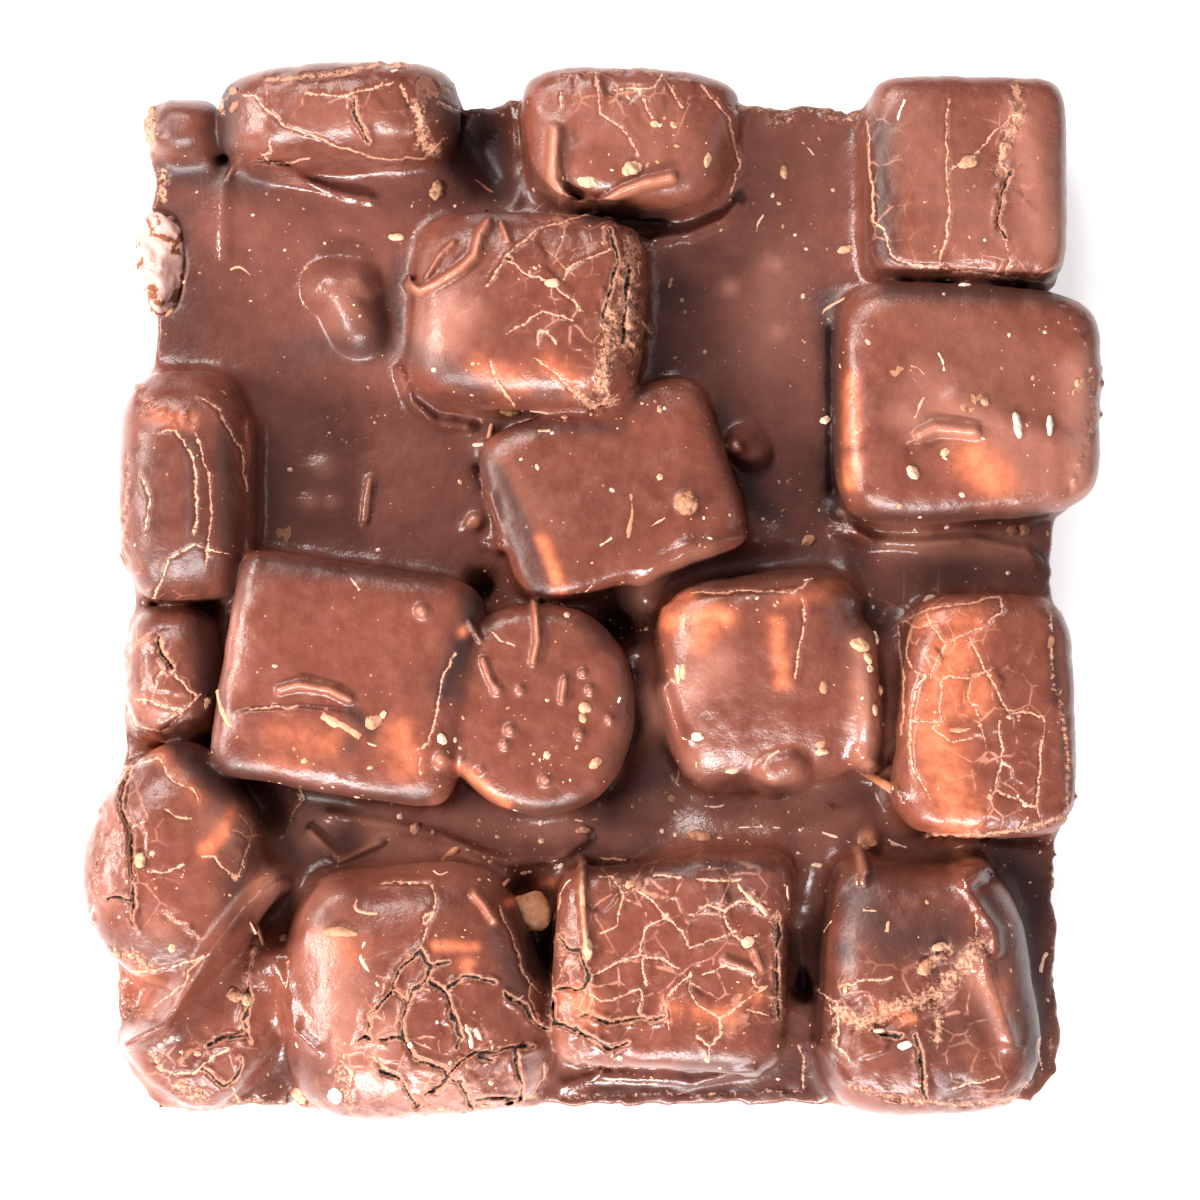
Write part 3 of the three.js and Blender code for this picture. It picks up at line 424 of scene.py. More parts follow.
# Loose crumbs of nut and coconut: places and widths.
CRUMBS = [
    (185, 156, 5), (197, 192, 5), (253, 215, 5), (285, 250, 5), (250, 250, 4), (306, 267, 8),
    (251, 301, 5), (184, 282, 6), (200, 273, 5), (325, 243, 5), (358, 246, 5), (415, 232, 5),
    (337, 297, 5), (354, 305, 4), (360, 316, 5), (292, 132, 6), (503, 115, 7), (437, 121, 4),
    (490, 108, 4), (521, 168, 5), (534, 190, 7), (455, 206, 5), (412, 206, 5), (628, 97, 9),
    (648, 165, 9), (674, 125, 11), (660, 125, 6), (665, 118, 5), (563, 178, 6), (658, 162, 7),
    (612, 170, 5), (677, 146, 8), (535, 268, 7), (540, 266, 6), (530, 272, 6), (603, 243, 5),
    (604, 227, 8), (590, 226, 5), (568, 222, 4), (468, 218, 5), (682, 300, 7), (685, 312, 5),
    (850, 119, 8), (773, 195, 7), (779, 203, 7), (833, 190, 6), (819, 139, 5), (783, 226, 6),
    (795, 235, 5), (721, 230, 5), (806, 249, 5), (803, 296, 8), (948, 188, 6), (970, 237, 5),
    (985, 240, 5), (948, 280, 5), (944, 294, 6), (868, 342, 9), (872, 305, 5), (1009, 335, 6),
    (1045, 332, 6), (225, 393, 7), (329, 433, 5), (347, 443, 5), (375, 423, 5), (290, 470, 7),
    (378, 550, 6), (193, 457, 6), (135, 545, 5), (705, 352, 7), (725, 361, 4), (675, 358, 6),
    (655, 401, 5), (642, 403, 5), (660, 409, 10), (825, 420, 14), (779, 482, 6), (788, 482, 7),
    (819, 510, 5), (783, 511, 7), (763, 519, 5), (774, 522, 6), (730, 515, 5), (704, 518, 5),
    (665, 408, 5), (434, 370, 7), (473, 364, 6), (454, 392, 4), (472, 395, 6), (523, 411, 5),
    (565, 417, 7), (552, 433, 5), (591, 414, 6), (521, 459, 5), (537, 467, 8), (660, 477, 9),
    (612, 490, 8), (460, 482, 8), (592, 563, 4), (623, 582, 5), (606, 597, 5), (485, 571, 5),
    (508, 581, 5), (497, 601, 5), (567, 615, 9), (621, 628, 6), (621, 638, 7), (610, 620, 5),
    (632, 628, 5), (646, 628, 9), (700, 545, 6), (710, 538, 7), (1077, 383, 11), (945, 452, 12),
    (945, 458, 8), (855, 440, 9), (857, 432, 7), (962, 495, 9), (900, 506, 8), (947, 527, 9),
    (920, 517, 6), (915, 530, 6), (865, 520, 6), (983, 438, 7), (1000, 523, 6), (916, 553, 6),
    (1008, 573, 7), (870, 595, 6), (873, 607, 6), (805, 342, 4), (840, 366, 8), (748, 598, 6),
    (757, 598, 6), (732, 605, 5), (775, 605, 6), (778, 602, 5), (262, 809, 5), (275, 770, 6),
    (265, 765, 5), (240, 765, 4), (280, 783, 5), (357, 797, 8), (338, 857, 6), (152, 853, 8),
    (156, 888, 6), (119, 917, 6), (182, 877, 4), (230, 895, 5), (267, 874, 5), (275, 666, 8),
    (212, 752, 4), (304, 761, 8), (322, 788, 5), (333, 787, 5), (370, 768, 8), (383, 715, 13),
    (463, 718, 6), (547, 755, 12), (534, 754, 5), (540, 760, 5), (577, 747, 7), (570, 780, 4),
    (548, 780, 5), (508, 708, 6), (547, 700, 6), (455, 740, 8), (460, 748, 6), (448, 752, 5),
    (400, 817, 9), (415, 828, 15), (433, 832, 7), (392, 804, 5), (480, 820, 7), (478, 826, 5),
    (515, 810, 7), (519, 820, 6), (521, 803, 5), (540, 823, 9), (498, 837, 8), (541, 841, 8),
    (526, 836, 4), (485, 858, 8), (490, 862, 7), (493, 857, 6), (525, 873, 10), (530, 872, 6),
    (560, 866, 10), (555, 868, 6), (480, 880, 7), (489, 880, 6), (506, 870, 5), (515, 871, 4),
    (633, 806, 6), (640, 800, 4), (673, 799, 9), (662, 831, 7), (675, 835, 6), (671, 798, 9),
    (711, 797, 6), (695, 784, 5), (756, 806, 4), (789, 812, 5), (675, 812, 6), (720, 838, 7),
    (738, 840, 4), (747, 842, 5), (762, 826, 6), (803, 828, 5), (798, 853, 5), (805, 870, 5),
    (826, 891, 4), (857, 883, 6), (883, 724, 8), (848, 667, 5), (862, 698, 5), (893, 788, 6),
    (990, 675, 9), (1010, 717, 8), (1025, 712, 8), (1019, 716, 6), (935, 712, 5), (990, 797, 8),
    (1025, 805, 8), (1018, 796, 5), (985, 845, 4), (1040, 852, 5), (1030, 882, 4), (1005, 866, 4),
    (1012, 935, 6), (1009, 925, 5), (1011, 970, 6), (1048, 1000, 7), (927, 902, 6), (862, 883, 5),
    (845, 990, 10), (785, 885, 5), (795, 990, 5), (810, 1025, 5), (720, 1068, 5), (778, 1079, 6),
    (744, 1033, 5), (738, 982, 5), (699, 1024, 5), (778, 1046, 5), (632, 1022, 9), (707, 1060, 9),
    (165, 1040, 8), (172, 1038, 7), (178, 1040, 5), (163, 1052, 6), (182, 1052, 6), (198, 1054, 10),
    (160, 1045, 7), (268, 1074, 6), (281, 1086, 5), (107, 957, 11), (172, 948, 13), (203, 957, 7),
    (288, 962, 8), (297, 1045, 8), (345, 1043, 5), (344, 1056, 8), (303, 1008, 5), (325, 980, 8),
    (436, 935, 4), (463, 937, 5), (506, 1040, 5), (437, 1022, 5), (400, 1020, 7), (410, 1045, 10),
    (491, 1083, 9), (483, 1106, 8), (450, 1063, 7), (620, 1058, 9), (612, 1056, 7), (652, 1078, 6),
    (612, 1082, 5), (918, 1085, 8), (905, 1046, 9), (812, 1046, 5), (1018, 1010, 5), (1027, 425, 5),
    (1033, 378, 8), (1058, 505, 5), (1048, 470, 5), (850, 500, 5), (800, 830, 5), (410, 883, 7),
]  # fmt: skip
# Sticks and shreds that lie bare: route, width, tone from white 0 to brown 1.
SHREDS = [
    ([(230, 270), (240, 267), (250, 275)], 3, 0.4), ([(475, 180), (483, 186), (492, 192)], 5, 0.55),
    ([(343, 568), (352, 580), (360, 590)], 5, 0.3), ([(322, 714), (340, 724), (360, 737)], 17, 0.5),
    ([(362, 739), (370, 744), (380, 746)], 3, 0.3), ([(218, 690), (224, 713), (238, 738)], 11, 0.5),
    ([(631, 494), (632, 515), (628, 538)], 7, 0.55), ([(600, 546), (612, 538)], 5, 0.2),
    ([(585, 592), (592, 585)], 4, 0.3), ([(651, 526), (665, 518)], 3, 0.3),
    ([(492, 424), (488, 438)], 5, 0.4), ([(473, 445), (483, 444)], 5, 0.15),
    ([(480, 418), (483, 423)], 4, 0.55), ([(530, 411), (548, 413), (563, 418)], 4, 0.15),
    ([(538, 431), (550, 431)], 5, 0.3), ([(615, 419), (622, 418)], 4, 0.3),
    ([(938, 353), (943, 362), (944, 371)], 6, 0.1), ([(924, 397), (919, 408), (915, 418)], 5, 0.35),
    ([(905, 100), (900, 112), (898, 122)], 5, 0.1),
    ([(845, 298), (833, 305), (823, 312), (822, 324)], 5, 0.4),
    ([(802, 142), (808, 148), (814, 155)], 5, 0.35), ([(763, 215), (758, 224), (757, 232)], 4, 0.2),
    ([(1047, 530), (1050, 550)], 5, 0.3), ([(804, 581), (813, 579)], 5, 0.1),
    ([(850, 763), (868, 776), (890, 790)], 9, 0.6), ([(766, 765), (770, 757), (779, 751)], 6, 0.35),
    ([(678, 665), (679, 682)], 6, 0.3), ([(697, 762), (697, 774)], 5, 0.3),
    ([(678, 760), (679, 772), (677, 782)], 4, 0.3), ([(705, 806), (714, 807), (724, 805)], 4, 0.1),
    ([(822, 833), (835, 837), (850, 843)], 5, 0.15), ([(888, 840), (896, 844), (906, 848)], 4, 0.15),
    ([(738, 828), (757, 827), (780, 828)], 2, 0.1), ([(950, 730), (965, 730), (982, 725)], 8, 0.5),
    ([(584, 862), (582, 885), (584, 930), (588, 955)], 5, 0.4),
    ([(357, 899), (355, 908), (364, 913), (377, 914)], 6, 0.45),
    ([(365, 942), (361, 957), (368, 970), (379, 986)], 5, 0.25),
    ([(258, 925), (263, 945), (268, 950)], 4, 0.35), ([(250, 922), (257, 935), (258, 947)], 3, 0.3),
    ([(458, 848), (445, 858), (440, 872)], 8, 0.6), ([(433, 871), (440, 875), (448, 872)], 4, 0.2),
    ([(738, 884), (745, 893), (758, 904), (767, 915)], 6, 0.35),
    ([(787, 886), (788, 898), (789, 910)], 4, 0.2), ([(863, 910), (870, 911), (877, 911)], 6, 0.45),
    ([(889, 921), (887, 932)], 7, 0.4), ([(832, 921), (824, 932)], 5, 0.4),
    ([(465, 1024), (470, 1036), (472, 1048)], 6, 0.25), ([(475, 1028), (481, 1040), (483, 1050)], 6, 0.2),
    ([(490, 1040), (492, 1050)], 7, 0.3), ([(575, 819), (583, 821)], 4, 0.4),
    ([(590, 820), (597, 819)], 3, 0.4), ([(617, 704), (620, 697)], 5, 0.05),
    ([(676, 668), (679, 684)], 6, 0.4), ([(437, 779), (440, 787)], 3, 0.1),
    ([(405, 62), (398, 70), (392, 72)], 5, 0.2), ([(147, 300), (149, 318), (155, 334)], 4, 0.2),
    ([(560, 895), (566, 884), (571, 880)], 4, 0.25), ([(1040, 972), (1043, 960), (1047, 953)], 8, 0.2),
    ([(900, 1046), (907, 1044)], 7, 0.1), ([(262, 1096), (273, 1093)], 3, 0.2),
    ([(94, 905), (91, 915)], 4, 0.3), ([(1076, 320), (1075, 330)], 4, 0.2),
    ([(557, 602), (564, 606)], 4, 0.1), ([(671, 278), (669, 288)], 6, 0.3),
    ([(503, 886), (510, 880)], 4, 0.3), ([(955, 848), (964, 845)], 3, 0.1),
]  # fmt: skip
# Pieces of nut: middle, length and width, turn, tone.
NUTS = [
    (437, 190, 22, 15, 80, 0.5), (588, 182, 20, 12, 0, 0.35), (632, 168, 22, 14, 20, 0.25),
    (552, 283, 15, 9, 0, 0.3), (397, 237, 18, 7, 0, 0.25), (784, 172, 15, 8, 90, 0.3),
    (968, 162, 22, 12, 20, 0.35), (708, 160, 15, 8, 80, 0.4), (845, 250, 17, 9, 10, 0.3),
    (965, 285, 13, 6, 0, 0.1), (155, 326, 18, 7, 80, 0.4), (170, 312, 12, 6, 60, 0.45),
    (686, 503, 22, 22, 0, 0.6), (913, 472, 17, 11, -50, 0.3), (929, 598, 14, 8, 30, 0.15),
    (808, 541, 15, 11, 30, 0.65), (510, 412, 22, 12, -20, 0.55), (697, 737, 14, 9, 0, 0.2),
    (822, 752, 14, 8, 0, 0.3), (821, 744, 9, 8, 0, 0.6), (824, 687, 9, 14, 0, 0.6),
    (875, 710, 9, 13, 10, 0.35), (700, 836, 26, 12, -20, 0.6), (733, 771, 16, 7, 15, 0.25),
    (860, 645, 20, 12, -20, 0.3), (868, 658, 14, 10, -60, 0.3), (876, 638, 14, 11, 0, 0.05),
    (870, 668, 9, 9, 0, 0.2), (585, 708, 11, 14, 60, 0.45), (583, 718, 9, 10, 0, 0.4),
    (596, 763, 15, 9, 40, 0.4), (442, 739, 13, 9, -60, 0.25), (583, 830, 15, 8, 0, 0.45),
    (373, 722, 18, 14, 30, 0.55), (283, 938, 8, 14, -10, 0.3), (248, 1000, 12, 13, 0, 0.2),
    (235, 995, 18, 14, 0, 0.6), (335, 1096, 16, 20, 0, 0.1), (940, 947, 17, 9, 0, 0.35),
    (925, 968, 18, 12, 50, 0.5), (515, 1000, 20, 7, -15, 0.25), (588, 948, 10, 22, 0, 0.3),
    (748, 943, 14, 14, 0, 0.25), (140, 860, 12, 16, 0, 0.35), (1018, 425, 9, 26, 10, 0.1),
    (1050, 425, 7, 22, 0, 0.15), (895, 845, 10, 4, -20, 0.2), (817, 865, 13, 5, 0, 0.15),
    (683, 672, 8, 18, 0, 0.4), (630, 885, 12, 10, 0, 0.45), (340, 932, 36, 10, -5, 0.5),
    (905, 1045, 16, 8, 10, 0.1), (880, 1031, 14, 5, 0, 0.15), (1012, 530, 12, 12, 0, 0.75),
    (1025, 530, 12, 15, 0, 0.8), (300, 1096, 18, 18, 0, 0.35), (985, 402, 9, 9, 0, 0.5),
    (640, 884, 9, 9, 0, 0.9), (880, 690, 12, 10, 0, 0.4), (655, 124, 8, 7, 0, 0.3),
]  # fmt: skip
# Thin angular flakes: middle, length and width, turn, tone.
FLAKES = [
    (918, 375, 22, 12, -50, 0.5), (898, 372, 16, 10, 10, 0.55), (967, 402, 20, 19, 80, 0.55),
    (978, 397, 12, 7, 30, 0.5), (232, 100, 20, 26, 10, 0.75), (366, 385, 24, 16, 20, 0.55),
    (283, 535, 26, 16, 70, 0.75), (1033, 333, 12, 4, -40, 0.2), (870, 842, 14, 12, 0, 0.75),
    (640, 268, 10, 14, 0, 0.5), (1050, 640, 8, 18, 0, 0.8), (208, 705, 7, 18, 0, 0.45),
    (1070, 395, 12, 6, 50, 0.4), (632, 378, 8, 18, -10, 0.7), (130, 586, 24, 12, -20, 0.7),
    (428, 90, 30, 22, -40, 0.85),
]  # fmt: skip


def linear(hex_colour):
    """An sRGB hex colour as the linear colour with alpha that sockets take."""
    parts = [int(hex_colour[i : i + 2], 16) / 255 for i in (1, 3, 5)]
    return tuple(c / 12.92 if c <= 0.04045 else ((c + 0.055) / 1.055) ** 2.4 for c in parts) + (1.0,)


# ---------------------------------------------------------------- noise


def hashed(*whole, seed=0):
    """A repeatable draw in 0..1 for whole-numbered places."""
    total = np.full(np.broadcast_shapes(*(np.shape(w) for w in whole)), seed * 7919 + 17, np.uint32)
    for prime, w in zip((73856093, 19349663, 83492791), whole):
        total = total ^ (w.astype(np.int64).astype(np.uint32) * np.uint32(prime))
    total = (total ^ (total >> 13)) * np.uint32(1274126177)
    total = (total ^ (total >> 16)) * np.uint32(2246822519)
    return ((total ^ (total >> 15)) & np.uint32(0xFFFFFF)) / float(0xFFFFFF)


def noise(places, scale, seed=0):
    """Smooth noise in -1..1 at places (a list of coordinate arrays), with lumps about scale wide."""
    cells = [np.floor(p / scale) for p in places]
    eased = [(p / scale - c) for p, c in zip(places, cells)]
    eased = [e * e * (3 - 2 * e) for e in eased]
    total = 0.0
    for corner in range(2 ** len(places)):
        steps = [(corner >> axis) & 1 for axis in range(len(places))]
        weight = 1.0
        for step, e in zip(steps, eased):
            weight = weight * (e if step else 1 - e)
        total = total + weight * hashed(*(c + s for c, s in zip(cells, steps)), seed=seed)
    return total * 2 - 1


def plates(x, y, width, seed=0):
    """Heights about -1..1 that jump from one irregular plate to the next, each tilted its own way."""
    tilt = 1.5
    beyond = 9.0
    cell_x, cell_y = np.floor(x / width), np.floor(y / width)
    nearest, height = np.full(np.broadcast_shapes(x.shape, y.shape), beyond), 0.0
    for step_x in (-1, 0, 1):
        for step_y in (-1, 0, 1):
            at_x, at_y = cell_x + step_x, cell_y + step_y
            away_x = x / width - at_x - hashed(at_x, at_y, seed=seed)
            away_y = y / width - at_y - hashed(at_x, at_y, seed=seed + 1)
            rise, tilt_x, tilt_y = (2 * hashed(at_x, at_y, seed=seed + k) - 1 for k in (2, 3, 4))
            away = np.hypot(away_x, away_y)
            level = rise + tilt * (tilt_x * away_x + tilt_y * away_y)
            height = np.where(away < nearest, level, height)
            nearest = np.minimum(away, nearest)
    return height


# ---------------------------------------------------------------- the picture and the slab


def camera_axes():
    """The way the camera looks and the way its picture's upper edge lies, in the slab's axes."""
    looks = np.array([-CAMERA_FOOT[0], -CAMERA_FOOT[1], AIM_LEVEL - CAMERA_HEIGHT])
    looks = looks / np.linalg.norm(looks)
    right = np.array([1.0, 0.0, 0.0])
    return looks, right, np.cross(right, looks)


def picture_scale():
    """Pixels for each unit of slope away from the middle of the picture."""
    return (CAMERA_HEIGHT - AIM_LEVEL) / PIXEL


def to_picture(x, y, z):
    """Where places in the slab's millimetres show in the picture."""
    looks, _, up = camera_axes()
    dx, dy, dz = x - CAMERA_FOOT[0], y - CAMERA_FOOT[1], z - CAMERA_HEIGHT
    depth = looks[1] * dy + looks[2] * dz
    rise = up[1] * dy + up[2] * dz
    return PICTURE / 2 + dx / depth * picture_scale(), PICTURE / 2 - rise / depth * picture_scale()


Way = namedtuple("Way", "x y far side along")


def along_route(px, py, route):
    """The way from places to a bent line, how far that is, on which side, and how far along the line."""
    far_away = 1e6
    if len(route) == 1:
        x, y = route[0][0] - px, route[0][1] - py
        return Way(x, y, np.hypot(x, y), np.ones(px.shape), np.full(px.shape, 0.5))
    lengths = [math.dist(a, b) for a, b in zip(route, route[1:])]
    best = Way(*(np.full(px.shape, far_away) for _ in Way._fields))
    done = 0.0
    for (ax, ay), (bx, by), length in zip(route, route[1:], lengths):
        dx, dy = (bx - ax) / length, (by - ay) / length
        step = np.clip((px - ax) * dx + (py - ay) * dy, 0, length)
        x, y = ax + step * dx - px, ay + step * dy - py
        side = np.sign(dx * (py - ay) - dy * (px - ax))
        found = Way(x, y, np.hypot(x, y), side, (done + step) / sum(lengths))
        closer = found.far < best.far
        best = Way(*(np.where(closer, new, old) for new, old in zip(found, best)))
        done += length
    return best


def beside(px, py, route, margin):
    """Which places lie within a margin of a route's box."""
    xs, ys = zip(*route)
    across = (px > min(xs) - margin) & (px < max(xs) + margin)
    return across & (py > min(ys) - margin) & (py < max(ys) + margin)


def gathered(px, py, strokes, share, together=np.add):
    """Runs over strokes (route, reach, amount) and gathers what each gives to the places near it."""
    near = 3
    total = np.zeros(px.shape)
    for route, reach, amount in strokes:
        close = beside(px, py, route, near * reach)
        if close.any():
            way = along_route(px[close], py[close], route)
            total[close] = together(total[close], amount * share(way, reach))
    return total


def soft(way, reach):
    """A swell that fades out past its reach."""
    fade = 1.2
    return np.exp(-((way.far / reach) ** 2) * fade)


def bumped(way, reach):
    """A rounded bump that ends at its reach."""
    fullness, foot = 2.4, 1.6
    return np.clip(1 - (way.far / reach) ** fullness, 0, 1) ** foot


def stepped(way, reach):
    """A step that is sharp at the line, dies away on both sides, and fades out at its ends."""
    sharpness, fade_in = 1.6, 8
    ends = np.clip(fade_in * np.minimum(way.along, 1 - way.along), 0, 1)
    return ends * 0.5 * np.tanh(way.side * way.far / sharpness) * np.exp(-way.far / reach)


def ragged(px, py):
    """Picture places shaken a little, so that a traced line comes out broken and not ruled."""
    wide, wide_shake = 17, 2.2
    fine, fine_shake = 6, 1.1
    return (
        px + wide_shake * noise([px, py], wide, seed=31) + fine_shake * noise([px, py], fine, seed=32),
        py + wide_shake * noise([px, py], wide, seed=33) + fine_shake * noise([px, py], fine, seed=34),
    )


def nearest_crack(px, py, routes, limit=14.0):
    """The way to the nearest crack and how far it is, in millimetres. Cracks narrow to their ends."""
    narrowing, fade_in = 2.0, 10
    way_x, way_y, far = np.full(px.shape, limit), np.zeros(px.shape), np.full(px.shape, limit)
    for route in routes:
        close = beside(px, py, route, limit)
        if not close.any():
            continue
        way = along_route(px[close], py[close], route)
        reached = way.far + narrowing * np.clip(1 - fade_in * np.minimum(way.along, 1 - way.along), 0, 1)
        better = reached < far[close]
        for old, new in ((way_x, way.x), (way_y, way.y), (far, reached)):
            old[close] = np.where(better, new, old[close])
    return way_x * PIXEL, way_y * PIXEL, far * PIXEL


# ---------------------------------------------------------------- the chocolate as a distance field


def smooth_min(a, b, reach):
    """The lower of two fields, run together where they are within reach of each other."""
    near = np.maximum(reach - np.abs(a - b), 0) / reach
    return np.minimum(a, b) - near * near * reach / 4


def to_lump(lump, x, y):
    """Plan places in the marshmallow's own axes."""
    narrowest = 0.4
    turn = math.radians(-lump.turn)
    dx, dy = x - lump.at[0], y - lump.at[1]
    u = dx * math.cos(turn) - dy * math.sin(turn)
    v = dx * math.sin(turn) + dy * math.cos(turn)
    narrow_u = np.maximum(1 + lump.taper[0] * v / lump.size[1], narrowest)
    narrow_v = np.maximum(1 + lump.taper[1] * u / lump.size[0], narrowest)
    return u / narrow_u, v / narrow_v


def plan_of(lump, x, y):
    """Places in the marshmallow's axes, and how far out in its plan they lie: 1 is its side."""
    u, v = to_lump(lump, x, y)
    across = np.abs(u / lump.size[0]) ** lump.square
    along = np.abs(v / lump.size[1]) ** lump.square
    return u, v, (across + along) ** (1 / lump.square)


def crown_of(lump, u, v):
    """How high the marshmallow's crown is over its waist, with its lean."""
    lowest = 2.0
    return np.maximum(lump.top - lump.waist + lump.lean[0] * u + lump.lean[1] * v, lowest)


def lump_distance(lump, x, y, z, step):
    """Roughly how far each place is outside the marshmallow's coat. Inside is negative."""
    wall_squareness = 7.0
    flattest = 0.03
    deepest, farthest = -14, 30
    u, v, plan = plan_of(lump, x, y)
    rise = np.maximum(z - lump.waist, 0) / crown_of(lump, u, v)
    above = (plan**lump.crown + rise**lump.crown) ** (1 / lump.crown)
    depth = np.maximum(lump.waist - z, 0) / (lump.waist - FLOOR)
    below = (plan**wall_squareness + depth**wall_squareness) ** (1 / wall_squareness)
    level = np.where(z > lump.waist, above, below)
    slope = np.sqrt(sum(g * g for g in np.gradient(level, step)))
    return np.clip((level - 1) / np.maximum(slope, flattest), deepest, farthest)


def top_level(x, y):
    """About how high the slab's top is over each plan place."""
    level = np.full(np.broadcast_shapes(x.shape, y.shape), POOL)
    for lump in LUMPS.values():
        u, v, plan = plan_of(lump, x, y)
        dome = np.clip(1 - plan**lump.crown, 0, 1) ** (1 / lump.crown)
        level = np.maximum(level, np.where(plan < 1, lump.waist + crown_of(lump, u, v) * dome, 0))
    return level


def outline_distance(x, y):
    """Signed distance in plan to the broken edge of the bed."""
    ring = OUTLINE + OUTLINE[:1]
    inside = np.zeros(np.broadcast_shapes(x.shape, y.shape), bool)
    for (ax, ay), (bx, by) in zip(ring, ring[1:]):
        if ay == by:
            continue
        crosses = (ay > y) != (by > y)
        inside ^= crosses & (x < (bx - ax) * (y - ay) / (by - ay) + ax)
    away = along_route(x + 0 * y, y + 0 * x, ring).far
    bays = 0.35 * noise([x, y], 3.1, seed=5)
    chips = 0.25 * noise([x, y], 1.1, seed=6)
    return np.where(inside, -away, away) + bays + chips


def bed_distance(x, y, z, hollow):
    """How far each place is outside the plate of set chocolate."""
    rounding = 0.7
    plan = outline_distance(x, y) + rounding
    ripple = 0.18 * noise([x, y], 11.0, seed=1) + 0.1 * noise([x, y], 4.3, seed=2)
    upright = np.maximum(z - POOL - ripple + hollow, UNDERSIDE - z) + rounding
    outside = np.hypot(np.maximum(plan, 0), np.maximum(upright, 0))
    return outside + np.minimum(np.maximum(plan, upright), 0) - rounding


def relief(x, y, px, py):
    """What the skin rises above its plain form, in millimetres."""
    total = 0.0
    for rise, width, seed in ((0.22, 6.5, 11), (0.1, 2.6, 12), (0.05, 1.2, 15)):
        total = total + rise * noise([x, y], width, seed=seed)

    plate_rise, plate_width = 0.17, 3.6
    crackled = np.clip(gathered(px, py, CRACKLES, soft, np.maximum), 0, 1)
    waved_x = x + 0.5 * noise([x, y], 1.5, seed=17)
    total = total + plate_rise * crackled * plates(waved_x, y, plate_width, seed=21)
    total = total + gathered(px, py, RIDGES, bumped, np.maximum)
    total = total + gathered(px, py, FOLDS, soft)
    total = total + gathered(px, py, LEDGES, stepped)

    # Open cracks: gaps of changing depth between raised lips. Rubble lies on the lips and where it broke.
    crack_depth, crack_half = 0.7, 0.18
    lip_rise, lip_far, lip_half = 0.22, 0.5, 0.4
    shaken_x, shaken_y = ragged(px, py)
    far = nearest_crack(shaken_x, shaken_y, SPLITS)[2]
    lips = np.exp(-(((far - lip_far) / lip_half) ** 2))
    rough = np.clip(np.maximum(gathered(px, py, CRUMBLES, soft, np.maximum), 0.6 * lips), 0, 1)
    rubble = 0.35 * noise([x, y], 0.9, seed=13) + 0.3 * noise([x, y], 0.5, seed=14)
    opened = np.clip(0.55 + 0.9 * noise([x, y], 2.2, seed=16), 0.1, 1)
    gap = crack_depth * opened * np.exp(-((far / crack_half) ** 2))
    total = total + rubble * rough + lip_rise * lips - gap

    hair_depth, hair_half = 0.14, 0.2
    edge_rise, edge_far, edge_half = 0.1, 0.4, 0.3
    far = nearest_crack(shaken_x, shaken_y, HAIRLINES)[2]
    edges = edge_rise * np.exp(-(((far - edge_far) / edge_half) ** 2))
    return total + edges - hair_depth * np.exp(-((far / hair_half) ** 2))


def chocolate(x, y, z, step):
    """The whole slab's field, the bed's own field, and each nearby marshmallow's."""
    far_off = 30.0
    px, py = to_picture(x + 0 * y, y + 0 * x, top_level(x, y))
    deep = gathered(px, py, HOLLOWS, soft, np.maximum)
    bed = bed_distance(x, y, z, deep)
    coats = {}
    together = np.full(bed.shape, far_off)
    for name, lump in LUMPS.items():
        reach = max(lump.size) * 1.3 + FILLET
        near_x = (x.max() > lump.at[0] - reach) and (x.min() < lump.at[0] + reach)
        near_y = (y.max() > lump.at[1] - reach) and (y.min() < lump.at[1] + reach)
        if near_x and near_y:
            coats[name] = lump_distance(lump, x, y, z, step)
            together = smooth_min(together, coats[name], CREVICE)
    plain_below, full_above = 5.0, 9.0
    raised = np.clip((z - plain_below) / (full_above - plain_below), 0, 1)
    sharpened, sharp_depth = 0.75, 2.5
    fillet = FILLET - sharpened * FILLET * np.clip(deep / sharp_depth, 0, 1)
    return smooth_min(bed, together, fillet) - relief(x, y, px, py) * raised, bed, coats


def axes(low, high, step):
    """Evenly stepped coordinates of a block, shaped to broadcast."""
    steps = [np.arange(a, b + step, step) for a, b in zip(low, high)]
    return [s.reshape([-1 if axis == i else 1 for i in range(3)]) for axis, s in enumerate(steps)]


def coat_block(name):
    """One marshmallow's share of the chocolate."""
    lump = LUMPS[name]
    margin, headroom = 3.0, 6.0
    turn = math.radians(lump.turn)
    half = (
        abs(lump.size[0] * math.cos(turn)) + abs(lump.size[1] * math.sin(turn)),
        abs(lump.size[0] * math.sin(turn)) + abs(lump.size[1] * math.cos(turn)),
    )
    reach = [h * (1 + abs(t)) + margin for h, t in zip(half, lump.taper)]
    bottom = FLOOR if lump.outer else HIDDEN_LEVEL
    low = [lump.at[0] - reach[0], lump.at[1] - reach[1], bottom - 1.0]
    high = [lump.at[0] + reach[0], lump.at[1] + reach[1], lump.top + headroom]
    x, y, z = axes(low, high, COAT_STEP)
    whole, bed, coats = chocolate(x, y, z, COAT_STEP)
    own = coats.pop(name)
    share = own - np.maximum(bed, 0)
    for other in coats.values():
        share = np.maximum(share, own - other)
    field = np.maximum(whole + SINK * np.maximum(share, 0), share - OVERLAP)
    return np.maximum(field, bottom - z), low, COAT_STEP


def bare_field(node, x, y, z, open_above=False):
    """How far each place is outside a bare piece's solid, or outside its pit, which is open above."""
    low, high = (np.array(corner) / MM - np.array(SHIFT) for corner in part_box(node))
    middle, half = (low + high) / 2, (high - low) / 2
    z = np.minimum(z, middle[2]) if open_above else z
    parts = [np.abs(p - m) / h for p, m, h in zip((x, y, z), middle, half)]
    squareness = BARE_PIECES[node]
    return (sum(p**squareness for p in parts) ** (1 / squareness) - 1) * half.min()


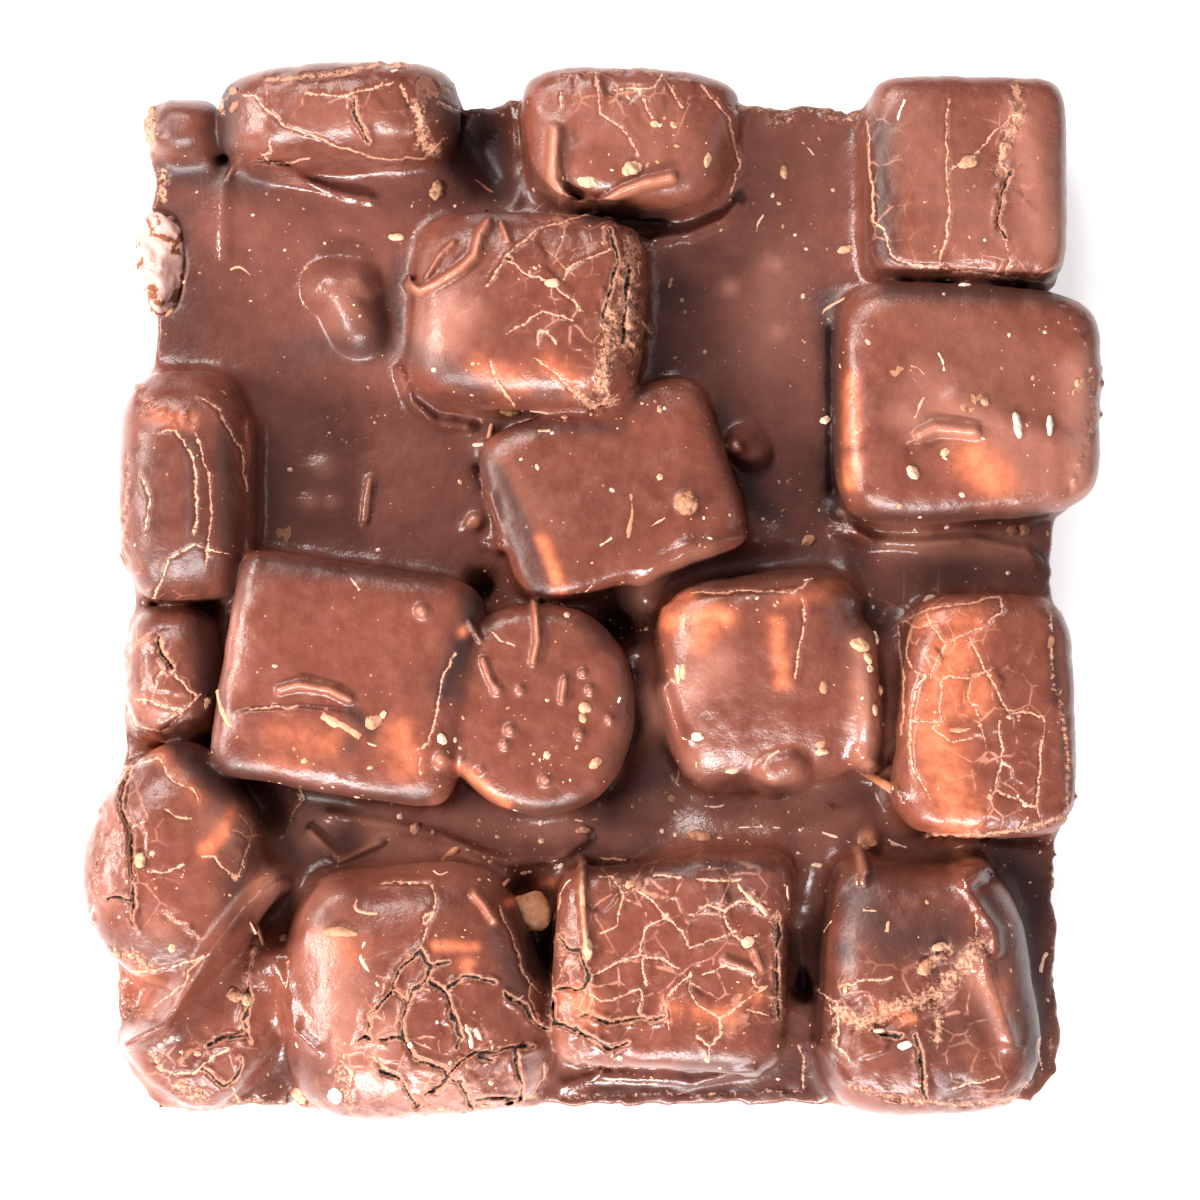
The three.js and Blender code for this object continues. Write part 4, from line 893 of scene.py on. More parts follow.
def bed_block():
    """What is left for the bed: everything between the marshmallows, and a plain floor under them."""
    margin, headroom = 2, 7
    xs, ys = zip(*OUTLINE)
    low = [min(xs) - margin, min(ys) - margin, UNDERSIDE - 1.0]
    high = [max(xs) + margin, max(ys) + margin, POOL + headroom]
    x, y, z = axes(low, high, BED_STEP)
    whole, bed, coats = chocolate(x, y, z, BED_STEP)
    nearest = np.minimum.reduce(list(coats.values()))
    share = np.maximum(bed, 0) - nearest
    field = np.maximum(whole + SINK * np.maximum(share, 0), np.minimum(share - OVERLAP, z - POOL + 1))
    for node in BARE_PIECES:
        field = np.maximum(field, PIT - bare_field(node, x, y, z, open_above=True))
    return np.maximum(field, UNDERSIDE - z), low, BED_STEP


def keep(mesh, name, values):
    """Stores one number, or three, for every point of a mesh."""
    kind, slot = ("FLOAT", "value") if values.ndim == 1 else ("FLOAT_VECTOR", "vector")
    mesh.attributes.new(name, kind, "POINT").data.foreach_set(slot, values.astype(np.float32).ravel())


def trace(mesh, places):
    """Writes on a mesh the way to the traced cracks, how crumbled, thin or pale each point is, and its
    painted light and painted shade.
    """
    x, y, z = places.T
    px, py = to_picture(x, y, z)
    shaken_x, shaken_y = ragged(px, py)
    for name, routes in (("hairline", HAIRLINES), ("split", SPLITS)):
        way_x, way_y, far = nearest_crack(shaken_x, shaken_y, routes)
        keep(mesh, name + "_way", np.column_stack([way_x, way_y, 0 * far]))
        keep(mesh, name + "_far", far)
    # The pale-bloom mark also carries painted light and painted highlights; the shade mark is painted
    # shade.
    marks = {
        "crumble": CRUMBLES,
        "thin_coat_and_painted_light": THIN_COAT_AND_PAINTED_LIGHT,
        "pale_bloom_and_painted_light": PALE_BLOOM_AND_PAINTED_LIGHT,
        "shade": PAINTED_SHADES,
        "crackle": CRACKLES,
        "thin": [(route, 0.7 * half, rise) for route, half, rise in RIDGES if half <= NARROW],
        "crest": [(route, 1.6 * half, 1.0) for route, half, _ in FOLDS if half <= NARROW],
    }
    for name, strokes in marks.items():
        keep(mesh, name, np.clip(gathered(px, py, strokes, soft, np.maximum), 0, 1))
    at_edge = np.clip((outline_distance(x, y) + 0.9) / 0.8, 0, 1)
    below_skin = np.clip((POOL + 2 - z) / 1.5, 0, 1)
    keep(mesh, "broken", at_edge * below_skin)


def mesh_block(name, field, low, step, adaptivity=0.0, traced=True):
    """The zero surface of a block as a mesh, in metres in the frame."""
    cutoff = 5.0
    grid = openvdb.FloatGrid(background=cutoff)
    grid.copyFromArray(np.clip(field, -cutoff, cutoff).astype(np.float32))
    points, triangles, quads = grid.convertToPolygons(isovalue=0.0, adaptivity=adaptivity)
    places = points * step + np.array(low)
    mesh = bpy.data.meshes.new(name)
    mesh.vertices.add(len(points))
    mesh.vertices.foreach_set("co", ((places + np.array(SHIFT)) * MM).astype(np.float32).ravel())
    corners = np.concatenate([quads[:, ::-1].ravel(), triangles[:, ::-1].ravel()]).astype(np.int32)
    mesh.loops.add(len(corners))
    mesh.loops.foreach_set("vertex_index", corners)
    starts = np.concatenate([np.arange(len(quads)) * 4, len(quads) * 4 + np.arange(len(triangles)) * 3])
    mesh.polygons.add(len(starts))
    mesh.polygons.foreach_set("loop_start", starts.astype(np.int32))
    mesh.update(calc_edges=True)
    mesh.shade_smooth()
    if traced:
        trace(mesh, places)
    piece = bpy.data.objects.new(name, mesh)
    bpy.context.scene.collection.objects.link(piece)
    return piece


# ---------------------------------------------------------------- finishes


# Settings that many nodes share.
PLUS = {"operation": "ADD"}
MINUS = {"operation": "SUBTRACT"}
TIMES = {"operation": "MULTIPLY"}
TIMES_PLUS = {"operation": "MULTIPLY_ADD"}
LARGER = {"operation": "MAXIMUM"}
COLOURS = {"data_type": "RGBA"}
SMOOTH = {"interpolation_type": "SMOOTHSTEP"}


def add_node(tree, kind, settings=None, **inputs):
    """Adds a node with its properties, and values or sockets for its inputs, by name or by i and place."""
    node = tree.nodes.new(kind)
    for key, value in (settings or {}).items():
        setattr(node, key, value)
    for key, value in inputs.items():
        numbered = key[0] == "i" and key[1:].isdigit()
        socket = node.inputs[int(key[1:]) if numbered else key.replace("_", " ")]
        if isinstance(value, bpy.types.NodeSocket):
            tree.links.new(value, socket)
        else:
            socket.default_value = value
    return node


def per_mm(size):
    """How many of a pattern that repeats about every size millimetres go into a metre."""
    return 1 / (size * MM)


def new_material(name, roughness, ior):
    """A material, its node tree and its shader."""
    material = bpy.data.materials.new(name)
    material.use_nodes = True
    shader = material.node_tree.nodes["Principled BSDF"]
    shader.inputs["Roughness"].default_value = roughness
    shader.inputs["IOR"].default_value = ior
    return material, material.node_tree, shader


def line_mask(tree, name, wobble, half, edge):
    """1 on a traced line and 0 beyond half its width, from the way and distance kept on the mesh."""
    between_points = 0.2
    way = add_node(tree, "ShaderNodeAttribute", {"attribute_name": name + "_way"}).outputs["Vector"]
    far = add_node(tree, "ShaderNodeAttribute", {"attribute_name": name + "_far"}).outputs["Fac"]
    length = add_node(tree, "ShaderNodeVectorMath", {"operation": "LENGTH"}, i0=way).outputs["Value"]
    far = add_node(tree, "ShaderNodeMath", MINUS, i0=far, i1=between_points).outputs[0]
    away = add_node(tree, "ShaderNodeMath", LARGER, i0=length, i1=far).outputs[0]
    shaken = add_node(tree, "ShaderNodeMath", PLUS, i0=away, i1=wobble).outputs[0]
    return add_node(
        tree, "ShaderNodeMapRange", SMOOTH, Value=shaken, From_Min=half + edge, From_Max=half - edge
    ).outputs["Result"]


def milk_chocolate(name, light, dark, cloudy, gloss, satin):
    """Set milk chocolate, poured or dipped: a satin skin, a little cloudy, pale where it is broken."""
    material, tree, shader = new_material(name, satin, 1.46)
    where = add_node(tree, "ShaderNodeTexCoord").outputs["Object"]

    # How uneven the skin is, from slow clouds to fine grain, and pale specks of milk solids in it.
    slow = add_node(tree, "ShaderNodeTexNoise", Vector=where, Scale=per_mm(16), Detail=3.0).outputs["Fac"]
    fine = add_node(
        tree, "ShaderNodeTexNoise", Vector=where, Scale=per_mm(2.2), Detail=5.0, Roughness=0.6
    ).outputs["Fac"]
    grain = add_node(
        tree, "ShaderNodeTexNoise", Vector=where, Scale=per_mm(0.5), Detail=3.0, Roughness=0.6
    ).outputs["Fac"]
    wobble = add_node(tree, "ShaderNodeMath", TIMES_PLUS, i0=grain, i1=0.7, i2=-0.32).outputs[0]
    patchy = add_node(tree, "ShaderNodeMath", TIMES_PLUS, i0=fine, i1=0.9, i2=-0.45).outputs[0]
    uneven = add_node(tree, "ShaderNodeMath", PLUS, i0=wobble, i1=patchy).outputs[0]
    specks = add_node(tree, "ShaderNodeTexVoronoi", Vector=where, Scale=per_mm(1.5), Randomness=1.0)
    chosen = add_node(tree, "ShaderNodeSeparateColor", Color=specks.outputs["Color"]).outputs["Red"]
    reach = add_node(
        tree, "ShaderNodeMapRange", Value=chosen, From_Min=0.72, From_Max=1.0, To_Min=0.0, To_Max=0.16
    )
    inside = add_node(
        tree, "ShaderNodeMath", MINUS, i0=reach.outputs[0], i1=specks.outputs["Distance"]
    ).outputs[0]
    speck = add_node(
        tree, "ShaderNodeMapRange", SMOOTH, Value=inside, From_Min=0.0, From_Max=0.06
    ).outputs[0]

    # What is traced on the mesh: crumbs, hairlines, and open cracks with their pale lips.
    marks = {
        mark: add_node(tree, "ShaderNodeAttribute", {"attribute_name": mark}).outputs["Fac"]
        for mark in ("thin_coat_and_painted_light", "crumble", "pale_bloom_and_painted_light", "shade", "broken", "crackle", "thin", "crest")
    }
    snapped = add_node(tree, "ShaderNodeMath", TIMES, i0=marks["broken"], i1=0.5).outputs[0]
    crumbly = add_node(tree, "ShaderNodeMath", LARGER, i0=marks["crumble"], i1=snapped).outputs[0]
    loose = add_node(tree, "ShaderNodeMath", TIMES_PLUS, i0=grain, i1=2.4, i2=-1.5).outputs[0]
    loose = add_node(tree, "ShaderNodeMath", PLUS, i0=crumbly, i1=loose).outputs[0]
    crumbs = add_node(
        tree, "ShaderNodeMapRange", SMOOTH, Value=loose, From_Min=0.3, From_Max=0.75
    ).outputs[0]
    hair = line_mask(tree, "hairline", wobble, 0.13, 0.08)
    lips = line_mask(tree, "split", uneven, 0.4, 0.14)
    # The inside of an open crack is painted near-black: painted shade in the gap.
    gap = line_mask(tree, "split", uneven, 0.14, 0.1)

    # A net of fine cracks, which comes and goes where the coat is crackled.
    bent = add_node(tree, "ShaderNodeTexNoise", Vector=where, Scale=per_mm(3), Detail=3.0).outputs["Color"]
    bent = add_node(tree, "ShaderNodeVectorMath", TIMES_PLUS, i0=bent, i1=(MM, MM, MM), i2=where)
    edges = {"feature": "DISTANCE_TO_EDGE"}
    net = add_node(tree, "ShaderNodeTexVoronoi", edges, Vector=bent.outputs[0], Scale=per_mm(3.8))
    away = net.outputs["Distance"]
    vein = add_node(
        tree, "ShaderNodeMapRange", SMOOTH, Value=away, From_Min=0.045, From_Max=0.012
    ).outputs[0]
    kept_vein = add_node(
        tree, "ShaderNodeMapRange", SMOOTH, Value=fine, From_Min=0.42, From_Max=0.56
    ).outputs[0]
    vein = add_node(tree, "ShaderNodeMath", TIMES, i0=vein, i1=kept_vein).outputs[0]
    crackle = add_node(tree, "ShaderNodeMath", TIMES, i0=vein, i1=marks["crackle"]).outputs[0]

    # The colour of the chocolate, and what covers it: mask, strength, colour.
    colour = add_node(tree, "ShaderNodeMix", COLOURS, i0=slow, i6=linear(dark), i7=linear(light)).outputs[2]
    tint = add_node(
        tree, "ShaderNodeMapRange", Value=fine, From_Min=0.35, From_Max=0.7, To_Max=0.4
    ).outputs[0]
    uncertain = add_node(
        tree, "ShaderNodeMapRange", Value=fine, From_Min=0.3, From_Max=0.7, To_Min=0.35
    ).outputs[0]
    # The thin-coat mark is partly a paler thin coat over the marshmallow and partly painted light on sides
    # lit from the left.
    thin_coat_and_painted_light = add_node(tree, "ShaderNodeMath", TIMES, i0=marks["thin_coat_and_painted_light"], i1=uncertain).outputs[0]
    # The shade mark is painted shade: it darkens the colour towards near-black where the chocolate lies in
    # shadow.
    covers = [
        (tint, 1.0, cloudy), (marks["broken"], 0.7, "#7A4A3A"), (marks["thin"], 0.75, "#B4745A"),
        (marks["pale_bloom_and_painted_light"], 0.55, "#AE7664"), (marks["shade"], 0.85, "#24110E"), (thin_coat_and_painted_light, 1.0, "#E07C55"),
        (speck, 0.5, "#B98468"), (crackle, 0.6, "#BC7F66"), (lips, 0.75, "#B27A60"),
        (hair, 0.95, "#CC9478"), (crumbs, 0.9, "#BC8468"), (gap, 1.0, "#1E0E0A"),
    ]  # fmt: skip
    for mask, strength, over in covers:
        cover = add_node(tree, "ShaderNodeMath", TIMES, i0=mask, i1=strength).outputs[0]
        colour = add_node(tree, "ShaderNodeMix", COLOURS, i0=cover, i6=colour, i7=linear(over)).outputs[2]
    tree.links.new(colour, shader.inputs["Base Color"])

    # Its gloss: wet along the crests of folds, dull in the shade and where it has crumbled.
    rough = add_node(
        tree, "ShaderNodeMapRange", Value=fine, From_Min=0.3, From_Max=0.7, To_Min=gloss, To_Max=satin
    ).outputs[0]
    dusty = add_node(tree, "ShaderNodeMath", LARGER, i0=crumbs, i1=lips).outputs[0]
    for mask, roughness in ((marks["crest"], 0.13), (marks["shade"], 0.5), (dusty, 0.8)):
        rough = add_node(
            tree, "ShaderNodeMix", {"data_type": "FLOAT"}, i0=mask, i2=rough, i3=roughness
        ).outputs[0]
    tree.links.new(rough, shader.inputs["Roughness"])

    # Relief too fine for the mesh: mask and rise, in millimetres.
    waves = add_node(tree, "ShaderNodeMath", TIMES, i0=fine, i1=0.2).outputs[0]
    rises = (
        (grain, 0.05), (speck, 0.05), (crumbs, 0.15), (lips, 0.08), (hair, -0.08), (crackle, -0.06),
        (gap, -0.3),
    )  # fmt: skip
    for mask, rise in rises:
        waves = add_node(tree, "ShaderNodeMath", TIMES_PLUS, i0=mask, i1=rise, i2=waves).outputs[0]
    bump = add_node(tree, "ShaderNodeBump", Height=waves, Distance=MM, Strength=0.8)
    tree.links.new(bump.outputs["Normal"], shader.inputs["Normal"])
    return material


def crumb_finish(name, stops, roughness):
    """Broken nut and coconut: matt and grainy, each piece with its own tone from white to roasted brown."""
    material, tree, shader = new_material(name, roughness, 1.45)
    where = add_node(tree, "ShaderNodeTexCoord").outputs["Object"]
    grain = add_node(
        tree, "ShaderNodeTexNoise", Vector=where, Scale=per_mm(0.7), Detail=4.0, Roughness=0.65
    ).outputs["Fac"]
    tone = add_node(tree, "ShaderNodeAttribute", {"attribute_name": "tone"}).outputs["Fac"]
    mottled = add_node(tree, "ShaderNodeMath", TIMES_PLUS, i0=grain, i1=0.5, i2=tone).outputs[0]
    shifted = add_node(tree, "ShaderNodeMath", MINUS, i0=mottled, i1=0.25).outputs[0]
    ramp = add_node(tree, "ShaderNodeValToRGB", Fac=shifted)
    while len(ramp.color_ramp.elements) < len(stops):
        ramp.color_ramp.elements.new(0.5)
    for element, (place, colour) in zip(ramp.color_ramp.elements, stops):
        element.position = place
        element.color = linear(colour)
    tree.links.new(ramp.outputs["Color"], shader.inputs["Base Color"])
    bump = add_node(tree, "ShaderNodeBump", Height=grain, Distance=0.12 * MM, Strength=0.6)
    tree.links.new(bump.outputs["Normal"], shader.inputs["Normal"])
    return material


def torn_marshmallow():
    """Marshmallow torn open: pink-white, matt and springy, with brown flecks of chocolate on it."""
    material, tree, shader = new_material("torn_marshmallow", 0.7, 1.4)
    where = add_node(tree, "ShaderNodeTexCoord").outputs["Object"]
    cells = add_node(
        tree, "ShaderNodeTexNoise", Vector=where, Scale=per_mm(1.1), Detail=5.0, Roughness=0.7
    ).outputs["Fac"]
    flecks = add_node(
        tree, "ShaderNodeTexNoise", Vector=where, Scale=per_mm(2.4), Detail=4.0, Roughness=0.6
    ).outputs["Fac"]
    fleck = add_node(tree, "ShaderNodeMapRange", Value=flecks, From_Min=0.54, From_Max=0.59).outputs[0]
    body = add_node(
        tree, "ShaderNodeMix", COLOURS, i0=cells, i6=linear("#B87C6C"), i7=linear("#DDBBB2")
    ).outputs[2]
    colour = add_node(tree, "ShaderNodeMix", COLOURS, i0=fleck, i6=body, i7=linear("#7A4426")).outputs[2]
    tree.links.new(colour, shader.inputs["Base Color"])
    shader.inputs["Subsurface Weight"].default_value = 0.15
    shader.inputs["Subsurface Radius"].default_value = (1.2 * MM, 0.7 * MM, 0.5 * MM)
    shader.inputs["Subsurface Scale"].default_value = 1.0
    bump = add_node(tree, "ShaderNodeBump", Height=cells, Distance=0.25 * MM, Strength=0.7)
    tree.links.new(bump.outputs["Normal"], shader.inputs["Normal"])
    return material


# ---------------------------------------------------------------- toppings


def geometry_tree(name, inputs):
    """An empty Geometry Nodes tree with a mesh coming in, named inputs, and a mesh going out."""
    tree = bpy.data.node_groups.new(name, "GeometryNodeTree")
    tree.interface.new_socket("Geometry", in_out="INPUT", socket_type="NodeSocketGeometry")
    for label, kind in inputs:
        tree.interface.new_socket(label, in_out="INPUT", socket_type=kind)
    tree.interface.new_socket("Geometry", in_out="OUTPUT", socket_type="NodeSocketGeometry")
    return tree, tree.nodes.new("NodeGroupInput"), tree.nodes.new("NodeGroupOutput")


def kept(tree, name, kind="FLOAT"):
    """The socket that gives an attribute of the points."""
    node = add_node(tree, "GeometryNodeInputNamedAttribute", {"data_type": kind}, Name=name)
    return next(socket for socket in node.outputs if socket.enabled)


def shaken(tree, geometry, amount, grain):
    """Moves every point a little by noise, so that no two pieces are alike."""
    finer = add_node(tree, "ShaderNodeMath", {"operation": "DIVIDE"}, i0=1.0, i1=grain).outputs[0]
    place = add_node(tree, "GeometryNodeInputPosition").outputs[0]
    drawn = add_node(tree, "ShaderNodeTexNoise", Vector=place, Scale=finer, Detail=2.0).outputs["Color"]
    centred = add_node(tree, "ShaderNodeVectorMath", MINUS, i0=drawn, i1=(0.5, 0.5, 0.5)).outputs[0]
    moved = add_node(
        tree, "ShaderNodeVectorMath", {"operation": "SCALE"}, i0=centred, Scale=amount
    ).outputs[0]
    return add_node(tree, "GeometryNodeSetPosition", Geometry=geometry, Offset=moved).outputs[0]


def bits_tree(name, finish, smooth, shape, settings, sizes):
    """Puts one small broken shape on every point, turned and stretched as the point says."""
    tree, source, result = geometry_tree(
        name, [("Roughness", "NodeSocketFloat"), ("Grain", "NodeSocketFloat")]
    )
    points = add_node(tree, "GeometryNodeMeshToPoints", Mesh=source.outputs["Geometry"]).outputs[0]
    form = add_node(tree, shape, settings, **sizes).outputs["Mesh"]
    turn = add_node(tree, "FunctionNodeEulerToRotation", i0=kept(tree, "turn", "FLOAT_VECTOR")).outputs[0]
    placed = add_node(
        tree, "GeometryNodeInstanceOnPoints",
        Points=points, Instance=form, Rotation=turn, Scale=kept(tree, "stretch", "FLOAT_VECTOR"),
    ).outputs[0]  # fmt: skip
    real = add_node(tree, "GeometryNodeRealizeInstances", Geometry=placed).outputs[0]
    amount = add_node(
        tree, "ShaderNodeMath", TIMES, i0=source.outputs["Roughness"], i1=kept(tree, "bulk")
    ).outputs[0]
    rough = shaken(tree, real, amount, source.outputs["Grain"])
    shaded = add_node(tree, "GeometryNodeSetShadeSmooth", Geometry=rough, Shade_Smooth=smooth).outputs[0]
    done = add_node(tree, "GeometryNodeSetMaterial", Geometry=shaded, Material=finish).outputs[0]
    tree.links.new(done, result.inputs[0])
    return tree


def strands_tree(name, finish):
    """Gives every bent line a flat round section as wide as its points say."""
    tree, source, result = geometry_tree(
        name, [("Roughness", "NodeSocketFloat"), ("Grain", "NodeSocketFloat")]
    )
    curve = add_node(tree, "GeometryNodeMeshToCurve", Mesh=source.outputs["Geometry"]).outputs[0]
    curve = add_node(
        tree, "GeometryNodeCurveSplineType", {"spline_type": "CATMULL_ROM"}, Curve=curve
    ).outputs[0]
    curve = add_node(
        tree, "GeometryNodeResampleCurve", {"mode": "LENGTH"}, Curve=curve, Length=0.3 * MM
    ).outputs[0]
    curve = add_node(tree, "GeometryNodeSetCurveNormal", {"mode": "Z_UP"}, Curve=curve).outputs[0]
    ring = add_node(tree, "GeometryNodeCurvePrimitiveCircle", Resolution=8, Radius=1.0).outputs[0]
    ring = add_node(tree, "GeometryNodeTransform", Geometry=ring, Scale=(1.0, 0.7, 1.0)).outputs[0]
    wide = {"Scale": kept(tree, "bulk"), "Fill_Caps": True}
    tube = add_node(tree, "GeometryNodeCurveToMesh", Curve=curve, Profile_Curve=ring, **wide).outputs[0]
    rough = shaken(tree, tube, source.outputs["Roughness"], source.outputs["Grain"])
    shaded = add_node(tree, "GeometryNodeSetShadeSmooth", Geometry=rough).outputs[0]
    real = add_node(tree, "GeometryNodeRealizeInstances", Geometry=shaded).outputs[0]
    done = add_node(tree, "GeometryNodeSetMaterial", Geometry=real, Material=finish).outputs[0]
    tree.links.new(done, result.inputs[0])
    return tree


def grown(name, tree, points, edges, marks, **inputs):
    """A plain mesh piece that a Geometry Nodes tree makes from points and edges with attributes."""
    seedbed = bpy.data.meshes.new(name + "_points")
    seedbed.from_pydata(points, edges, [])
    for mark, values in marks.items():
        keep(seedbed, mark, np.array(values))
    host = bpy.data.objects.new(name + "_points", seedbed)
    bpy.context.scene.collection.objects.link(host)
    modifier = host.modifiers.new(name, "NODES")
    modifier.node_group = tree
    for item in tree.interface.items_tree:
        if item.in_out == "INPUT" and item.name in inputs:
            modifier[item.identifier] = inputs[item.name]
    graph = bpy.context.evaluated_depsgraph_get()
    mesh = bpy.data.meshes.new_from_object(host.evaluated_get(graph))
    bpy.data.objects.remove(host)
    piece = bpy.data.objects.new(name, mesh)
    bpy.context.scene.collection.objects.link(piece)
    return piece


class Surface:
    """The finished chocolate, to lay things on where the camera sees them."""

    def __init__(self, pieces):
        graph = bpy.context.evaluated_depsgraph_get()
        self.trees = [BVHTree.FromObject(piece, graph) for piece in pieces]
        looks, right, up = camera_axes()
        self.eye = Vector((CAMERA_FOOT[0] + SHIFT[0], CAMERA_FOOT[1] + SHIFT[1], CAMERA_HEIGHT)) * MM
        self.looks, self.right, self.up = Vector(looks), Vector(right), Vector(up)

    def land(self, px, py):
        """Where the ray through a pixel meets the chocolate, and the way the skin faces there."""
        across, rise = (px - PICTURE / 2) / picture_scale(), (PICTURE / 2 - py) / picture_scale()
        ray = (self.looks + self.right * across + self.up * rise).normalized()
        hits = [tree.ray_cast(self.eye, ray) for tree in self.trees]
        hits = [hit for hit in hits if hit[0] is not None]
        if not hits:
            return None
        place, normal, _, _ = min(hits, key=lambda hit: hit[3])
        return place, normal


def laid(surface, things, thickness, sunk, draw):
    """Points, turns and stretches of things (px, py, length, width, turn, tone), flat on the chocolate."""
    tone_spread = 0.08
    points, marks = [], {"turn": [], "stretch": [], "tone": [], "bulk": []}
    for px, py, length, width, turn, tone in things:
        hit = surface.land(px, py)
        if hit is None:
            continue
        place, normal = hit
        size = [length * PIXEL * MM / 2, width * PIXEL * MM / 2]
        size.append(thickness * math.sqrt(size[0] * size[1]))
        lying = normal.to_track_quat("Z", "Y").to_matrix()
        along = Vector((math.cos(math.radians(turn)), math.sin(math.radians(turn)), 0))
        along = (along - normal * along.dot(normal)).normalized()
        lying.col[0], lying.col[1], lying.col[2] = along, normal.cross(along), normal
        points.append(place + normal * size[2] * sunk)
        marks["turn"].append(lying.to_euler())
        marks["stretch"].append(size)
        marks["tone"].append(tone + draw.uniform(-tone_spread, tone_spread))
        marks["bulk"].append(min(size[:2]))
    return points, marks


def scattered_crumbs(draw):
    """Traced crumbs, dust near them and dust all over, as (px, py, length, width, turn, tone)."""
    everywhere, around, spread = 520, 2, 15
    slab_across, slab_down = (90, 1090), (70, 1105)
    crumbs = []
    for px, py, width in CRUMBS:
        narrow, turn, tone = width * draw.uniform(0.45, 0.8), draw.uniform(0, 180), draw.uniform(0.1, 0.6)
        crumbs.append((px, py, 0.9 * width, narrow, turn, tone))
        for _ in range(around):
            small = draw.uniform(1.4, 2.6)
            near_x, near_y = px + draw.normal(0, spread), py + draw.normal(0, spread)
            crumbs.append((near_x, near_y, small, small, 0, draw.uniform(0.2, 0.9)))
    for _ in range(everywhere):
        small = 1.3 + 1.4 * draw.random() ** 3
        far_x, far_y = draw.uniform(*slab_across), draw.uniform(*slab_down)
        crumbs.append((far_x, far_y, small, small, 0, draw.uniform(0.3, 1.0)))
    return crumbs


def lay_strands(surface, draw):
    """Points and edges of the bare sticks and shreds, resting on the chocolate along their length."""
    raised, tone_spread = 0.6, 0.05
    points, edges, marks = [], [], {"bulk": [], "tone": []}
    for route, width, tone in SHREDS:
        start = len(points)
        for place_px, place_py in route:
            hit = surface.land(place_px, place_py)
            if hit is None:
                continue
            half = width * PIXEL * MM / 2
            place, normal = hit
            points.append(place + normal * half * raised)
            marks["bulk"].append(half)
            marks["tone"].append(tone + draw.uniform(-tone_spread, tone_spread))
        edges += [(i, i + 1) for i in range(start, len(points) - 1)]
    return points, edges, marks


# ---------------------------------------------------------------- stage


def make_floor():
    """A plain pale floor."""
    mesh = bpy.data.meshes.new("floor")
    half = 1.5
    corners = [(-half, -half, 0), (half, -half, 0), (half, half, 0), (-half, half, 0)]
    mesh.from_pydata(corners, [], [(0, 1, 2, 3)])
    floor = bpy.data.objects.new("floor", mesh)
    bpy.context.scene.collection.objects.link(floor)
    material, _, shader = new_material("pale_floor", 0.9, 1.45)
    shader.inputs["Base Color"].default_value = linear("#FAFAFA")
    shader.inputs["Emission Color"].default_value = (1, 1, 1, 1)
    shader.inputs["Emission Strength"].default_value = 0.5
    mesh.materials.append(material)


def aimed(obj, place, target):
    """Sets a light or the camera at a place, in millimetres, turned to look at a target."""
    obj.location = Vector(place) * MM
    obj.rotation_euler = (Vector(target) * MM - obj.location).to_track_quat("-Z", "Y").to_euler()
    bpy.context.scene.collection.objects.link(obj)


def add_light(name, place, size, power, colour="#FFFFFF"):
    """A soft rectangular light, in millimetres, aimed at the slab."""
    light = bpy.data.lights.new(name, "AREA")
    light.shape = "RECTANGLE"
    light.size, light.size_y = size[0] * MM, size[1] * MM
    light.energy = power
    light.color = linear(colour)[:3]
    aimed(bpy.data.objects.new(name, light), place, (0, 0, POOL))


def make_lights():
    """Long low windows, which draw narrow bright lines along the folds, and a soft room."""
    add_light("back_window", (-240, 380, 420), (380, 110), 3.6, "#FFF8F4")
    add_light("front_window", (-90, -480, 300), (400, 50), 7.5, "#FFFFFF")
    add_light("left_window", (-500, -20, 330), (360, 60), 5.5, "#FFF6F0")
    add_light("right_window", (520, 60, 320), (260, 300), 0.4, "#FFF8F4")
    world = bpy.data.worlds.new("soft_room")
    world.use_nodes = True
    world.node_tree.nodes["Background"].inputs["Color"].default_value = linear("#F2F4FF")
    world.node_tree.nodes["Background"].inputs["Strength"].default_value = 0.3
    bpy.context.scene.world = world


def make_camera():
    """A camera almost straight above the slab, which takes in the whole picture."""
    camera = bpy.data.cameras.new("camera")
    camera.sensor_width = SENSOR
    camera.lens = SENSOR * (CAMERA_HEIGHT - AIM_LEVEL) / (PICTURE * PIXEL)
    camera.clip_start = 0.01
    foot = (CAMERA_FOOT[0] + SHIFT[0], CAMERA_FOOT[1] + SHIFT[1], CAMERA_HEIGHT)
    obj = bpy.data.objects.new("camera", camera)
    aimed(obj, foot, (SHIFT[0], SHIFT[1], AIM_LEVEL))
    bpy.context.scene.camera = obj


# ---------------------------------------------------------------- the slab

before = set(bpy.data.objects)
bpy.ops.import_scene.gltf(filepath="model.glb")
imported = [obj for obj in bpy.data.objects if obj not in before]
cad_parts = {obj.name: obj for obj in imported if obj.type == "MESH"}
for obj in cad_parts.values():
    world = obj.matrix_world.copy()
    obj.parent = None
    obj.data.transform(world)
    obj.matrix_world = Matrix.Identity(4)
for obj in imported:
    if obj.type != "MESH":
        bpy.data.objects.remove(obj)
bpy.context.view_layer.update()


def plan_shift():
    """From the plan's origin to the frame's, which is under the middle of the slab's box."""
    side, back = LUMPS["marshmallow_right"], LUMPS["marshmallow_top_right"]
    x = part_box("marshmallow_right")[1][0] / MM - side.at[0] - side.size[0]
    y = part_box("marshmallow_top_right")[1][1] / MM - back.at[1] - back.size[1]
    return (x, y, 0.0)


SHIFT = plan_shift()
poured = milk_chocolate("poured_milk_chocolate", "#6C3E34", "#55312A", "#7A4A3C", 0.16, 0.3)
dipped = milk_chocolate("dipped_milk_chocolate", "#6E392A", "#542B22", "#824A38", 0.22, 0.4)
crumb_matter = crumb_finish(
    "nut_and_coconut_crumb", [(0.0, "#E2CFBC"), (0.3, "#C49674"), (0.6, "#A06C4E"), (1.0, "#6E4032")], 0.6
)


